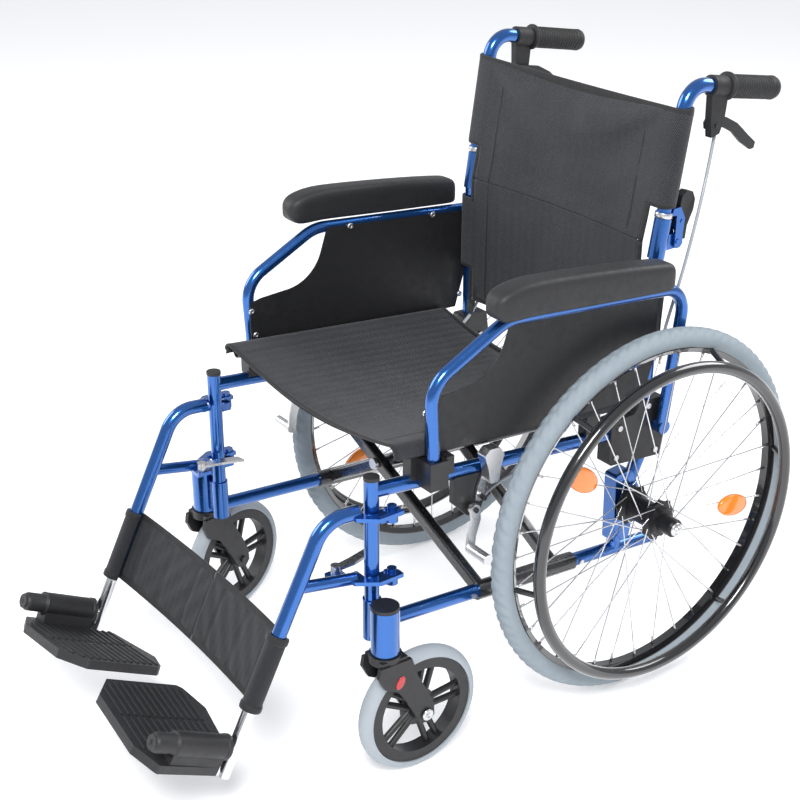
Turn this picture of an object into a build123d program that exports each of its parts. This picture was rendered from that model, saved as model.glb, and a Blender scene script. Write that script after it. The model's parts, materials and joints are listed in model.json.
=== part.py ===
"""Folding self-propelled transport wheelchair.

Millimetres, +Z up. The chair faces -Y and its left side is +X. The origin is on the
floor under the middle of the chair. Every Y below is counted from the rear axle, and
at() and side() add AXLE_Y, so the rear axle stands at Y = AXLE_Y.
Left-hand pieces are built once and mirrored for the right-hand side.
"""

import os
from math import cos, pi, radians, sin, tan

from build123d import *

os.makedirs("parts", exist_ok=True)

# Overall layout
AXLE_Y = 273.98
SIDE_X = 222.0            # plane of each side frame
TUBE_R = 11.0
WALL = 1.8
RUN = 0.06                # radial clearance of a running fit
FIT = 0.03                # radial clearance of a fixed fit

# Side frame
POST_Y = -476.0
POST_TOP = 473.0
HOUSING_Z = (219.0, 290.0)
LOWER_SLOPE = -0.0524     # rise per millimetre rearward
LOWER_Z0 = 215.6          # lower rail height above the floor at the rear axle
UPPER_SLOPE = -0.072
UPPER_Z0 = 420.8
BACK_TUBE_Y = 31.0

# Rear wheel
WHEEL_R = 300.0
WHEEL_X = 276.0
AXLE_R = 8.0
RIM_OUT = 281.0
RIM_IN = 263.0
HANDRIM_X = 326.0
HANDRIM_R = 254.0
HANDRIM_TUBE_R = 9.5
SPOKES_PER_SIDE = 18

# Caster
CASTER_X = 264.0
STEM_Y = -482.0
TRAIL = 57.0
CASTER_R = 101.3
CASTER_TYRE_R = 14.0
CASTER_SWIVEL = 15.0      # the right caster stands turned by this many degrees

# Cross brace
SLEEVE_Y = (-288.0, -100.0)
SLEEVE_R = 14.5
SEAT_Y = (-433.0, -30.0)
SEAT_RISE = 49.6          # seat tube axis above the upper rail axis
BEAM = (16.0, 22.0)
BEAM_WALL = 2.0
BEAM_DROP = 3.0           # beam axis below the seat tube axis where they meet
BEAM_FOOT_Y = (-268.0, -124.0)
BEAM_SEAT_Y = (-326.0, -146.0)

# Armrest
ARM_X = 247.0
ARM_R = 9.5
ARM_FOOT_Y = -390.0
ARM_PIVOT = (47.0, 424.0)

# Back
HINGE = (61.0, 714.0)
RELEASE_PIVOT = (66.0, 744.0)
BLOCK_Z = (692.0, 751.0)
BLOCK_R = 13.2
PIN_REACH = 13.2          # half length of the back hinge pins
CANE_BEND = 34.0
GRIP_X = 217.0
GRIP_R = 15.5

# Footrest hanger, extension and plate
HANGER_PIVOT = (234.0, -450.0)
SHANK_X = 218.0
SHANK_TILT = 26.5         # degrees from upright
BARREL_Y, BARREL_Z = -706.0, 118.0
CHROME_R = 9.42
BARREL_R = 18.0
PLATE_ROLL = 7.7


def at(x, y, z):
    """A point whose y is counted from the rear axle."""
    return (x, AXLE_Y + y, z)


def side(y, z):
    """A point of a side view, for sketches on a YZ plane."""
    return (AXLE_Y + y, z)


def lower_rail(y):
    return LOWER_Z0 + LOWER_SLOPE * y


def upper_rail(y):
    return UPPER_Z0 + UPPER_SLOPE * y


def seat_tube(y):
    return upper_rail(y) + SEAT_RISE


def tube(points, radius, wall=0.0, bends=None, mode=Mode.ADD):
    """A round tube along straight runs joined by bends; without a wall it is a solid bar."""
    with BuildLine() as route:
        if bends is None:
            Polyline(*points)
        else:
            FilletPolyline(*points, radius=bends)
    start = Plane(origin=route.line @ 0, z_dir=route.line % 0)
    with BuildSketch(start) as section:
        Circle(radius)
        if wall:
            Circle(radius - wall, mode=Mode.SUBTRACT)
    sweep(sections=section.sketch, path=route.line, mode=mode)


def rod(start, end, radius, mode=Mode.ADD):
    """A straight round bar between two points."""
    axis = Vector(end) - Vector(start)
    with BuildSketch(Plane(origin=Vector(start), z_dir=axis)) as section:
        Circle(radius)
    extrude(section.sketch, amount=axis.length, mode=mode)


def slab(outline, x0, x1, corner=0.0, mode=Mode.ADD):
    """A plate parallel to the side frame, cut to a side-view outline."""
    with BuildSketch(Plane.YZ.offset(x0)) as section:
        with BuildLine():
            points = [side(y, z) for y, z in outline]
            if corner:
                FilletPolyline(*points, radius=corner, close=True)
            else:
                Polyline(*points, close=True)
        make_face()
    extrude(section.sketch, amount=x1 - x0, mode=mode)


def block(x, y, z, mode=Mode.ADD):
    """A box between pairs of limits, with y counted from the rear axle."""
    low = at(x[0], y[0], z[0])
    size = (x[1] - x[0], y[1] - y[0], z[1] - z[0])
    with Locations(low):
        Box(*size, align=(Align.MIN, Align.MIN, Align.MIN), mode=mode)


def disc(x0, x1, y, z, radius, mode=Mode.ADD):
    """A round disc or pin whose axis runs across the chair."""
    rod(at(x0, y, z), at(x1, y, z), radius, mode)


def ring(x, mean_r, tube_r):
    """A torus round the rear axle."""
    with BuildSketch(Plane.XY.offset(WHEEL_R)) as section:
        with Locations(at(x, mean_r, 0)[:2]):
            Circle(tube_r)
    revolve(section.sketch, axis=Axis(at(0, 0, WHEEL_R), (1, 0, 0)))


def turned(profile, centre_y, centre_z, mode=Mode.ADD):
    """A solid turned about a cross axis, from (x, radius) profile points."""
    with BuildSketch(Plane.XY.offset(centre_z)) as section:
        with BuildLine():
            Polyline(*[at(x, centre_y + r, 0)[:2] for x, r in profile], close=True)
        make_face()
    revolve(section.sketch, axis=Axis(at(0, centre_y, centre_z), (1, 0, 0)), mode=mode)


def save(piece, label):
    piece.part.label = label
    export_step(piece.part, f"parts/{label}.step")


def save_pair(left, label):
    """Writes a left-hand piece and its mirror image."""
    save(left, f"left_{label}")
    with BuildPart() as right:
        mirror(left.part, about=Plane.YZ)
    save(right, f"right_{label}")


# ---------------------------------------------------------------- side frame
LOWER_FRONT = at(SIDE_X, POST_Y, lower_rail(POST_Y))
LOWER_REAR = at(SIDE_X, 72, lower_rail(72))
UPPER_FRONT = at(SIDE_X, POST_Y, upper_rail(POST_Y))
UPPER_REAR = at(SIDE_X, BACK_TUBE_Y, upper_rail(BACK_TUBE_Y))
REAR_POST = [
    at(SIDE_X, -14, lower_rail(-14)),
    at(SIDE_X, 10, 328),
    at(SIDE_X, BACK_TUBE_Y, 374),
    at(SIDE_X, BACK_TUBE_Y, BLOCK_Z[0] + 6),
]
BRACKET_OUTLINE = [(-46, 376), (-46, 449), (0, 452), (10, 469), (60, 469), (66, 430), (60, 368)]
RECEIVER_Z = (406.0, 306.0)
RECEIVER_H = 13.0
SLEEVE_POST_R = 13.5

with BuildPart() as side_frame:
    tube([at(SIDE_X, POST_Y, HOUSING_Z[0]), at(SIDE_X, POST_Y, POST_TOP)], TUBE_R, WALL)
    tube([at(SIDE_X, POST_Y, HOUSING_Z[0]), at(SIDE_X, POST_Y, 284)], SLEEVE_POST_R, 2.5)
    tube([LOWER_FRONT, LOWER_REAR], TUBE_R, WALL)
    tube([UPPER_FRONT, UPPER_REAR], TUBE_R, WALL)
    tube(REAR_POST, TUBE_R, WALL, bends=[60, 40])
    # axle carrier: a flat tube beside the rear post
    slab([(-24, 232), (-28, 352), (4, 356), (22, 322), (8, 236)], SIDE_X - 13, SIDE_X + 13, corner=6)
    # caster stem housing and its web
    rod(at(CASTER_X, STEM_Y, HOUSING_Z[0]), at(CASTER_X, STEM_Y, HOUSING_Z[1]), 21)
    block((SIDE_X + 5, CASTER_X - 10), (POST_Y - 11, POST_Y + 5), (228, 280))
    # receivers for the hanger pins, behind the post
    for low in RECEIVER_Z:
        receiver = at(*HANGER_PIVOT, low)
        rod(receiver, (receiver[0], receiver[1], low + RECEIVER_H), 9)
        block((SIDE_X - 4, HANGER_PIVOT[0]), (POST_Y + 8, HANGER_PIVOT[1]), (low, low + RECEIVER_H))
    # lower half of the half-fold back hinge
    rod(at(SIDE_X, BACK_TUBE_Y - 1, BLOCK_Z[0]), at(SIDE_X, BACK_TUBE_Y + 8, BLOCK_Z[1]), BLOCK_R)
    slab([(40, 702), (40, 726), (62, 725), (71, 719), (71, 709), (62, 703)], SIDE_X - 7, SIDE_X + 7, corner=3)
    # bores
    rod(at(CASTER_X, STEM_Y, 200), at(CASTER_X, STEM_Y, 286), AXLE_R + RUN, mode=Mode.SUBTRACT)
    disc(SIDE_X - 20, SIDE_X + 20, 0, WHEEL_R, AXLE_R + FIT, mode=Mode.SUBTRACT)
    for low in RECEIVER_Z:
        pin_hole = at(*HANGER_PIVOT, low - 5)
        rod(pin_hole, (pin_hole[0], pin_hole[1], low + 20), 5 + RUN, mode=Mode.SUBTRACT)
    disc(SIDE_X - 12, SIDE_X + 12, *HINGE, 4 + RUN, mode=Mode.SUBTRACT)
save_pair(side_frame, "side_frame")

with BuildPart() as plastic_fittings:
    rod(at(SIDE_X, POST_Y, POST_TOP + FIT), at(SIDE_X, POST_Y, POST_TOP + 5), TUBE_R + 0.6)
    rod(at(CASTER_X, STEM_Y, HOUSING_Z[1] + FIT), at(CASTER_X, STEM_Y, HOUSING_Z[1] + 5), 20.5)
    disc_start = Vector(*LOWER_REAR)
    rail_way = (disc_start - Vector(*LOWER_FRONT)).normalized()
    rod((disc_start + rail_way * FIT), (disc_start + rail_way * 4), TUBE_R)
    # clamp bracket that joins the upper rail, rear post and armrest pivot
    slab(BRACKET_OUTLINE, SIDE_X - 14, SIDE_X + 14, corner=5)
    rod(UPPER_FRONT, UPPER_REAR, TUBE_R + FIT, mode=Mode.SUBTRACT)
    tube(REAR_POST, TUBE_R + FIT, bends=[60, 40], mode=Mode.SUBTRACT)
    disc(SIDE_X - 30, SIDE_X + 30, *ARM_PIVOT, 5 + RUN, mode=Mode.SUBTRACT)
    # press latch behind the armrest socket
    block((SIDE_X + TUBE_R + 1, 252), (-370, -357), (462, 489))
save_pair(plastic_fittings, "plastic_fittings")

with BuildPart() as rail_fittings:
    # armrest socket
    socket_z = (upper_rail(ARM_FOOT_Y) - 2, upper_rail(ARM_FOOT_Y) + 40)
    block((SIDE_X + 4, ARM_X + 14), (ARM_FOOT_Y - 14, ARM_FOOT_Y + 17), socket_z)
    # the mouth is long enough rearward for the foot to swing out about the rear pivot
    rod(
        at(ARM_X, ARM_FOOT_Y + 1.7, socket_z[0] + 6),
        at(ARM_X, ARM_FOOT_Y + 1.7, socket_z[1] + 5),
        ARM_R + 2,
        mode=Mode.SUBTRACT,
    )
    # saddles that carry the seat tube
    for y in (-404, -80):
        saddle_z = (upper_rail(y), seat_tube(y) + 1)
        block((SIDE_X - 9.5, SIDE_X + 9.5), (y - 13, y + 13), saddle_z)
    # wheel lock bracket: a clip round the rail and a plate below it
    slab([(-344, 441), (-286, 437), (-286, 400), (-296, 374), (-318, 374), (-344, 400)],
         SIDE_X + 3, SIDE_X + 13, corner=3)
    disc(SIDE_X + 10, SIDE_X + 30, -300, 404, 4, mode=Mode.ADD)
    disc(SIDE_X + 10, SIDE_X + 30, -314, 388, 4, mode=Mode.ADD)
    rod(UPPER_FRONT, UPPER_REAR, TUBE_R + FIT, mode=Mode.SUBTRACT)
    rod(at(SIDE_X, -440, seat_tube(-440)), at(SIDE_X, 0, seat_tube(0)), 12.6, mode=Mode.SUBTRACT)
save_pair(rail_fittings, "rail_fittings")

with BuildPart() as frame_bolts:
    # rear axle with its inner nut
    disc(192, 328, 0, WHEEL_R, AXLE_R)
    with BuildSketch(Plane.YZ.offset(196)) as nut:
        with Locations(side(0, WHEEL_R)):
            RegularPolygon(14, 6)
    extrude(nut.sketch, amount=12)
    # armrest pivot pin
    disc(SIDE_X - 19, ARM_X - 4, *ARM_PIVOT, 5)
    disc(SIDE_X - 19, SIDE_X - 14 - FIT, *ARM_PIVOT, 9)
    # bracket, rail and sleeve stop screws, with domed heads outboard
    for y, z in ((-34, 388), (-30, 436), (48, 380), (26, 460)):
        disc(SIDE_X + 14 + FIT, SIDE_X + 17, y, z, 4.5)
    for y in (SLEEVE_Y[0] - 12, SLEEVE_Y[1] + 12):
        disc(SIDE_X + TUBE_R + FIT, SIDE_X + TUBE_R + 3, y, lower_rail(y), 4)
save_pair(frame_bolts, "frame_bolts")

CABLE_ROUTE = [
    at(219, 132, 858),
    at(226, 118, 812),
    at(238, 96, 765),
    at(240, 82, 712),
    at(236, 72, 655),
    at(229, 62, 600),
    at(222, 55, 545),
    at(209, 48, 497),
    at(202, 12, 462),
    at(202, -38, 436),
    at(203, -95, 420),
    at(203, -152, 407),
    at(204, -208, 398),
    at(210, -258, 391),
    at(222, -281, 388),
]
with BuildPart() as brake_cable:
    legs = [(Vector(*a) - Vector(*b)).length for a, b in zip(CABLE_ROUTE, CABLE_ROUTE[1:])]
    turns = [
        (Vector(*b) - Vector(*a)).get_angle(Vector(*c) - Vector(*b))
        for a, b, c in zip(CABLE_ROUTE, CABLE_ROUTE[1:], CABLE_ROUTE[2:])
    ]
    radii = [
        0.45 * min(first, second) / tan(radians(turn) / 2)
        for first, second, turn in zip(legs, legs[1:], turns)
    ]
    print("brake cable bend radii", [round(r) for r in radii])
    tube(CABLE_ROUTE, 2.2, bends=radii)
save_pair(brake_cable, "brake_cable")

# ---------------------------------------------------------------- rear wheel
with BuildPart() as tyre:
    with BuildSketch(Plane.XY.offset(WHEEL_R)) as tyre_section:
        with Locations(at(WHEEL_X, WHEEL_R - 13, 0)[:2]):
            Ellipse(16.5, 13)
        with Locations(at(WHEEL_X, 277, 0)[:2]):
            Rectangle(25, 8, mode=Mode.SUBTRACT)
        with Locations(at(WHEEL_X, 279, 0)[:2]):
            Rectangle(20.8, 6)
    revolve(tyre_section.sketch, axis=Axis(at(0, 0, WHEEL_R), (1, 0, 0)))
save_pair(tyre, "tyre")

with BuildPart() as rim:
    half = [(7, RIM_IN), (12.4, 271), (12.4, RIM_OUT - 0.1), (10.5, RIM_OUT - 0.1), (10.5, 275.9)]
    outline = [(WHEEL_X + x, r) for x, r in half] + [(WHEEL_X - x, r) for x, r in reversed(half)]
    turned(outline, 0, WHEEL_R)
save_pair(rim, "rim")

FLANGE_X = (245.0, 303.0)
FLANGE_R = 30.0
with BuildPart() as hub:
    turned(
        [
            (238.5, 0), (238.5, 14), (242.5, 17), (242.5, FLANGE_R), (247.5, FLANGE_R), (252, 20),
            (296, 20), (300.5, FLANGE_R), (305.5, FLANGE_R), (307, 22), (316, 20), (317, 15),
            (340, 14.5), (343, 12), (343, 0),
        ],
        0,
        WHEEL_R,
    )
    disc(230, 330, 0, WHEEL_R, AXLE_R + RUN, mode=Mode.SUBTRACT)
save_pair(hub, "hub")

with BuildPart() as spokes:
    for flange_x, rim_x, phase in ((FLANGE_X[0], WHEEL_X + 3, 0.0), (FLANGE_X[1], WHEEL_X - 3, 0.5)):
        for i in range(SPOKES_PER_SIDE):
            lead = 1 if i % 2 else -1
            rim_turn = 2 * pi * (i + phase) / SPOKES_PER_SIDE
            hub_turn = rim_turn + lead * radians(62)
            hub_x = flange_x + lead * 3.7
            start = at(hub_x, 25 * sin(hub_turn), WHEEL_R + 25 * cos(hub_turn))
            reach = RIM_IN + 0.5
            end = at(rim_x, reach * sin(rim_turn), WHEEL_R + reach * cos(rim_turn))
            rod(start, end, 1.0)
save_pair(spokes, "spokes")

with BuildPart() as handrim:
    ring(HANDRIM_X, HANDRIM_R, HANDRIM_TUBE_R)
    for i in range(6):
        turn = 2 * pi * (i + 0.35) / 6
        rod(
            at(WHEEL_X + 12.5, 270 * sin(turn), WHEEL_R + 270 * cos(turn)),
            at(HANDRIM_X - 3, 256 * sin(turn), WHEEL_R + 256 * cos(turn)),
            4.5,
        )
    # the stand-offs meet the rim's outer face and stop there
    with BuildSketch(Plane.XY.offset(WHEEL_R)) as rim_side:
        with Locations(at(WHEEL_X, 271, 0)[:2]):
            Rectangle(24.9, 40)
    revolve(rim_side.sketch, axis=Axis(at(0, 0, WHEEL_R), (1, 0, 0)), mode=Mode.SUBTRACT)
save_pair(handrim, "handrim")

# ---------------------------------------------------------------- caster
CASTER_Y = STEM_Y + TRAIL
LEG_OUTLINE = [
    (-24, 208), (-27, 192), (-17, 172), (8, 158), (24, 132), (40, 100), (50, 88), (62, 86),
    (71, 96), (70, 116), (56, 146), (40, 176), (30, 208),
]
with BuildPart() as caster_fork:
    rod(at(CASTER_X, STEM_Y, 204), at(CASTER_X, STEM_Y, 217.6), 24)
    block((CASTER_X - 22, CASTER_X + 22), (STEM_Y - 20, STEM_Y + 24), (204.4, 214))
    leg = [(STEM_Y + y, z) for y, z in LEG_OUTLINE]
    for inner, outer in ((17.5, 24.5), (-24.5, -17.5)):
        slab(leg, CASTER_X + inner, CASTER_X + outer)
    rod(at(CASTER_X, STEM_Y, 210), at(CASTER_X, STEM_Y, 285), AXLE_R)
    disc(CASTER_X - 28, CASTER_X + 28, CASTER_Y, CASTER_R, 6)

with BuildPart() as caster_wheel:
    turned(
        [(CASTER_X - 12, 70), (CASTER_X + 12, 70), (CASTER_X + 12, 86), (CASTER_X - 12, 86)],
        CASTER_Y,
        CASTER_R,
    )
    disc(CASTER_X - 17, CASTER_X + 17, CASTER_Y, CASTER_R, 17)
    disc(CASTER_X - 2, CASTER_X + 2, CASTER_Y, CASTER_R, 30)
    for i in range(5):
        turn = 2 * pi * (i + 0.2) / 5
        for spread in (-0.13, 0.13):
            root = turn + spread * 3.2
            rod(
                at(CASTER_X, CASTER_Y + 16 * sin(root), CASTER_R + 16 * cos(root)),
                at(CASTER_X, CASTER_Y + 73 * sin(turn + spread), CASTER_R + 73 * cos(turn + spread)),
                5,
            )
    disc(CASTER_X - 20, CASTER_X + 20, CASTER_Y, CASTER_R, 6 + RUN, mode=Mode.SUBTRACT)

with BuildPart() as caster_tyre:
    with BuildSketch(Plane.XY.offset(CASTER_R)) as caster_section:
        with Locations(at(CASTER_X, CASTER_Y + CASTER_R - CASTER_TYRE_R, 0)[:2]):
            Circle(CASTER_TYRE_R)
            with Locations((0, -CASTER_TYRE_R / 2 - 0.6)):
                Rectangle(40, CASTER_TYRE_R + 1, mode=Mode.SUBTRACT)
    revolve(caster_section.sketch, axis=Axis(at(0, CASTER_Y, CASTER_R), (1, 0, 0)))

for left, label in ((caster_fork, "caster_fork"), (caster_wheel, "caster_wheel"), (caster_tyre, "caster_tyre")):
    save(left, f"left_{label}")
    stem_axis = Axis(at(-CASTER_X, STEM_Y, 0), (0, 0, 1))
    with BuildPart() as right:
        mirrored = mirror(left.part, about=Plane.YZ, mode=Mode.PRIVATE)
        add(mirrored.rotate(stem_axis, CASTER_SWIVEL))
    save(right, f"right_{label}")

# ---------------------------------------------------------------- armrest
ARM_ROUTE = [
    at(ARM_X, ARM_FOOT_Y, upper_rail(ARM_FOOT_Y) + 6),
    at(ARM_X, ARM_FOOT_Y, 500),
    at(ARM_X, -396, 600),
    at(ARM_X, -268, 668),
    at(ARM_X, 74, 646),
    at(ARM_X, *ARM_PIVOT),
]
PAD_X = (240.5, 286.0)
PANEL_X = (235.8, 237.3)
with BuildPart() as armrest_tube:
    tube(ARM_ROUTE, ARM_R, WALL, bends=[60, 50, 70, 42])
    disc(ARM_X - 9, ARM_X + 8, *ARM_PIVOT, 11)
    disc(ARM_X - 20, ARM_X - 4 + RUN, *ARM_PIVOT, 5 + RUN, mode=Mode.SUBTRACT)
save_pair(armrest_tube, "armrest_tube")

with BuildPart() as armrest_pad:
    slab(
        [(-309, 692), (-303, 712), (-284, 723), (-242, 729), (-5, 704), (10, 701), (15, 693),
         (14, 662), (-262, 681), (-288, 676)],
        *PAD_X,
    )
    fillet(armrest_pad.edges().filter_by(GeomType.LINE).filter_by(Axis.X).group_by(Axis.Z)[-1], 6)
    rod(ARM_ROUTE[3], ARM_ROUTE[4], ARM_R + FIT, mode=Mode.SUBTRACT)
save_pair(armrest_pad, "armrest_pad")

with BuildPart() as side_panel:
    with BuildSketch(Plane.YZ.offset(PANEL_X[0])) as panel_section:
        with BuildLine():
            low_front = side(-397, 492)
            shoulder = side(-330, 579)
            curve_end = side(-262, 632)
            Polyline(side(-376, 575), side(-397, 570), low_front, side(12, 478), side(36, 560), side(40, 648))
            Line(side(40, 648), side(-250, 668))
            Line(side(-250, 668), curve_end)
            TangentArc(curve_end, shoulder, tangent=(-0.3, -1))
            Line(shoulder, side(-376, 575))
        make_face()
    extrude(panel_section.sketch, amount=PANEL_X[1] - PANEL_X[0])
    # panel screws
    for y, z in ((-389, 515), (-395, 556), (-206, 663), (-40, 653)):
        disc(PANEL_X[0] - 0.2, ARM_X - ARM_R, y, z, 4)
save_pair(side_panel, "side_panel")

# ---------------------------------------------------------------- footrest
TILT = radians(SHANK_TILT)
DOWN = Vector(0, -sin(TILT), -cos(TILT))
FORWARD = Vector(0, -cos(TILT), sin(TILT))
OUT = Vector(0, sin(TILT), cos(TILT))
BARREL = Vector(*at(SHANK_X, BARREL_Y, BARREL_Z))


def shank(distance):
    """A point on the shank axis, this far up from the hinge barrel."""
    return (BARREL - DOWN * distance)


HANGER_END = 92.0
ELBOW_UP = 348.0
BRACKET_Z = (420.0, 320.0)
with BuildPart() as hanger:
    elbow = shank(ELBOW_UP)
    hanger_top = (SHANK_X, AXLE_Y - 497, elbow.Z - 3)
    tube([hanger_top, elbow, shank(HANGER_END)], TUBE_R, TUBE_R - CHROME_R - RUN, bends=48)
    # strut from the shank back to the lower bracket
    strut_start = Vector(*shank(246))
    tube([(strut_start + Vector(0, 4, 0)), at(SHANK_X, -503, 323)], 9, 2)
    for low, front in ((BRACKET_Z[0], -508), (BRACKET_Z[1], -512)):
        with BuildSketch(Plane.XY.offset(low)) as arm:
            with BuildLine():
                x, y = HANGER_PIVOT
                FilletPolyline(
                    *[at(*p, 0)[:2] for p in (
                        (SHANK_X - 12, front), (SHANK_X - 12, POST_Y - 15), (x - 0, POST_Y - 15),
                        (x + 1.5, POST_Y), (x + 1.5, y + 10), (x + 16, y + 10), (x + 18, POST_Y - 6),
                        (SHANK_X + 14, front),
                    )],
                    radius=1.2,
                    close=True,
                )
            make_face()
        extrude(arm.sketch, amount=6)
        pin = at(x, y, low - 13)
        block((x - 9, x + 12), (y - 8, y + 9), (low, low + 6))
        rod(pin, (pin[0], pin[1], low + 6), 5)
        rod((pin[0], pin[1], low + 6), (pin[0], pin[1], low + 11), 7)
    block((SHANK_X - 32, SHANK_X - 8), (-532, -508), (BRACKET_Z[1], BRACKET_Z[1] + 6))
    rod(shank(HANGER_END - 5), shank(250), CHROME_R + RUN, mode=Mode.SUBTRACT)
save_pair(hanger, "hanger")

LATCH_PIVOT = (196.0, -520.0)
with BuildPart() as hanger_latch:
    x, y = LATCH_PIVOT
    rod(at(x, y, 326.3), at(x, y, 340), 7)
    with BuildSketch(Plane.XY.offset(332)) as lever:
        with BuildLine():
            Polyline(
                *[at(*p, 0)[:2] for p in (
                    (x - 5, y - 5), (x + 6, y - 5), (x + 4, y + 30), (x - 6, y + 62),
                    (x - 22, y + 66), (x - 12, y + 30),
                )],
                close=True,
            )
        make_face()
    extrude(lever.sketch, amount=4)
save_pair(hanger_latch, "hanger_latch")

with BuildPart() as footrest_extension:
    rod(shank(-46), shank(205), CHROME_R)
    rod(shank(12), shank(206), CHROME_R - WALL, mode=Mode.SUBTRACT)
    stub_end = (BARREL + FORWARD * 104)
    rod(BARREL, stub_end, AXLE_R)
save_pair(footrest_extension, "footrest_extension")

PLATE_DROP = 28.0
PLATE_T = 14.0
ROLL = radians(PLATE_ROLL)
with BuildPart() as footplate:
    barrel_start = BARREL + FORWARD * 18
    barrel_end = BARREL + FORWARD * 102
    rod(barrel_start, barrel_end, BARREL_R)
    plate_x = Vector(cos(ROLL), 0, 0) - OUT * sin(ROLL)
    plate_top = Plane(
        origin=(BARREL - OUT * PLATE_DROP),
        x_dir=plate_x,
        z_dir=OUT * cos(ROLL) + Vector(sin(ROLL), 0, 0),
    )
    # plate outline: x across from the shank, y rearward along the barrel
    with BuildSketch(plate_top) as sole:
        with BuildLine():
            FilletPolyline(
                (-184, 18), (-138, 35), (-27, 20), (-24, -14), (8, -18), (10, -118), (-33, -140), (-150, -142),
                (-191, -112), (-191, 10), radius=5, close=True,
            )
        make_face()
    extrude(sole.sketch, amount=-PLATE_T)
    # cheek that joins the barrel to the plate
    with BuildSketch(plate_top.offset(-PLATE_T)) as cheek:
        with Locations((-5, -60)):
            Rectangle(26, 84)
    extrude(cheek.sketch, amount=PLATE_T + PLATE_DROP)
    knob_start = BARREL + FORWARD * 104.4
    knob_end = BARREL + FORWARD * 139
    rod((BARREL + FORWARD * 10), (BARREL + FORWARD * 104.2), AXLE_R + RUN,
        mode=Mode.SUBTRACT)
    rod(barrel_end, knob_end, 11)
    rod((BARREL + FORWARD * 10), (BARREL + FORWARD * 104.4), AXLE_R + RUN,
        mode=Mode.SUBTRACT)
save_pair(footplate, "footplate")

# ---------------------------------------------------------------- back canes
CANE_ROUTE = [at(SIDE_X, 38.6, 752.5), at(SIDE_X, 66, 940), at(GRIP_X, 236, 913.5)]
with BuildPart() as back_cane:
    tube(CANE_ROUTE, TUBE_R, WALL, bends=CANE_BEND)
    # steel collar over the hinge block and the two ears that carry the pivot pin
    collar_low = Vector(*CANE_ROUTE[0])
    cane_way = (Vector(*CANE_ROUTE[1]) - collar_low).normalized()
    rod(CANE_ROUTE[0], (collar_low + cane_way * 8), BLOCK_R)
    for inner, outer in ((7.6, 11.6), (-11.6, -7.6)):
        slab(
            [(55, 708), (58, 704), (66, 704), (71, 710), (70, 724), (72, 748), (62, 766), (48, 765),
             (46, 755), (55, 754)],
            SIDE_X + inner,
            SIDE_X + outer,
        )
    disc(SIDE_X - PIN_REACH, SIDE_X + PIN_REACH, *HINGE, 4)
    disc(SIDE_X - PIN_REACH, SIDE_X + PIN_REACH, *RELEASE_PIVOT, 3)
save_pair(back_cane, "back_cane")

with BuildPart() as back_release:
    slab(
        [(60, 738), (68, 730), (74, 714), (80, 714), (82, 734), (92, 756), (94, 772), (88, 784),
         (77, 787), (68, 780), (65, 768), (66, 758), (60, 750)],
        SIDE_X - 7,
        SIDE_X + 7,
        corner=1.5,
    )
    disc(SIDE_X - 10, SIDE_X + 10, *RELEASE_PIVOT, 3 + RUN, mode=Mode.SUBTRACT)
save_pair(back_release, "back_release")

GRIP_WAY = (Vector(*CANE_ROUTE[2]) - Vector(*CANE_ROUTE[1])).normalized()
GRIP_ROOT = Vector(*CANE_ROUTE[1])
LEVER_PIVOT = (124.0, 874.0)
with BuildPart() as push_grip:
    rod(
        (GRIP_ROOT + GRIP_WAY * 80),
        (GRIP_ROOT + GRIP_WAY * 181),
        GRIP_R,
    )
    # brake lever housing clamped in front of the grip
    rod(
        (GRIP_ROOT + GRIP_WAY * 46),
        (GRIP_ROOT + GRIP_WAY * 76),
        15,
    )
    slab([(110, 930), (144, 926), (140, 884), (132, 862), (116, 858), (112, 884)], GRIP_X - 1, GRIP_X + 11)
    tube(CANE_ROUTE, TUBE_R + FIT, bends=CANE_BEND, mode=Mode.SUBTRACT)
    disc(GRIP_X - 10, GRIP_X + 20, *LEVER_PIVOT, 3 + RUN, mode=Mode.SUBTRACT)
save_pair(push_grip, "push_grip")

with BuildPart() as brake_lever:
    disc(GRIP_X - 4.5, GRIP_X + 13, *LEVER_PIVOT, 3)
    slab(
        [(116, 868), (114, 878), (120, 886), (134, 884), (158, 880), (182, 868), (206, 848),
         (224, 834), (222, 825), (214, 824), (192, 838), (172, 856), (152, 866), (134, 868)],
        GRIP_X - 6,
        GRIP_X - 1.4,
        corner=1.5,
    )
save_pair(brake_lever, "brake_lever")

# ---------------------------------------------------------------- wheel lock
LOCK_PIVOT = (-300.0, 404.0)
ARM_LINK = (-314.0, 388.0)
with BuildPart() as lock_handle:
    slab([(-308, 398), (-300, 394), (-292, 400), (-290, 420), (-284, 440), (-294, 442), (-304, 420)],
         SIDE_X + 14, SIDE_X + 18)
    slab([(-296, 428), (-280, 428), (-277, 452), (-272, 470), (-280, 482), (-298, 483), (-307, 474), (-300, 452)],
         SIDE_X + 18, SIDE_X + 36, corner=4)
    disc(SIDE_X + 18, SIDE_X + 22, *LOCK_PIVOT, 6)
    disc(SIDE_X + 9, SIDE_X + 32, *LOCK_PIVOT, 4 + RUN, mode=Mode.SUBTRACT)
save_pair(lock_handle, "lock_handle")

with BuildPart() as lock_arm:
    slab([(-323, 392), (-314, 397), (-306, 392), (-304, 370), (-312, 345), (-314, 322), (-328, 322),
          (-326, 350), (-320, 372)],
         SIDE_X + 22.5, SIDE_X + 27, corner=2)
    disc(SIDE_X + 18.6, SIDE_X + 22.5, *ARM_LINK, 8)
    disc(SIDE_X + 24, SIDE_X + 68, -321, 327, 8)
    disc(SIDE_X + 9, SIDE_X + 32, *ARM_LINK, 4 + RUN, mode=Mode.SUBTRACT)
save_pair(lock_arm, "lock_arm")

# ---------------------------------------------------------------- cross brace
RAIL_WAY = Vector(0, 1, LOWER_SLOPE).normalized()
PIVOT_RISE = (seat_tube(-230) - lower_rail(-230)) / 2


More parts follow.
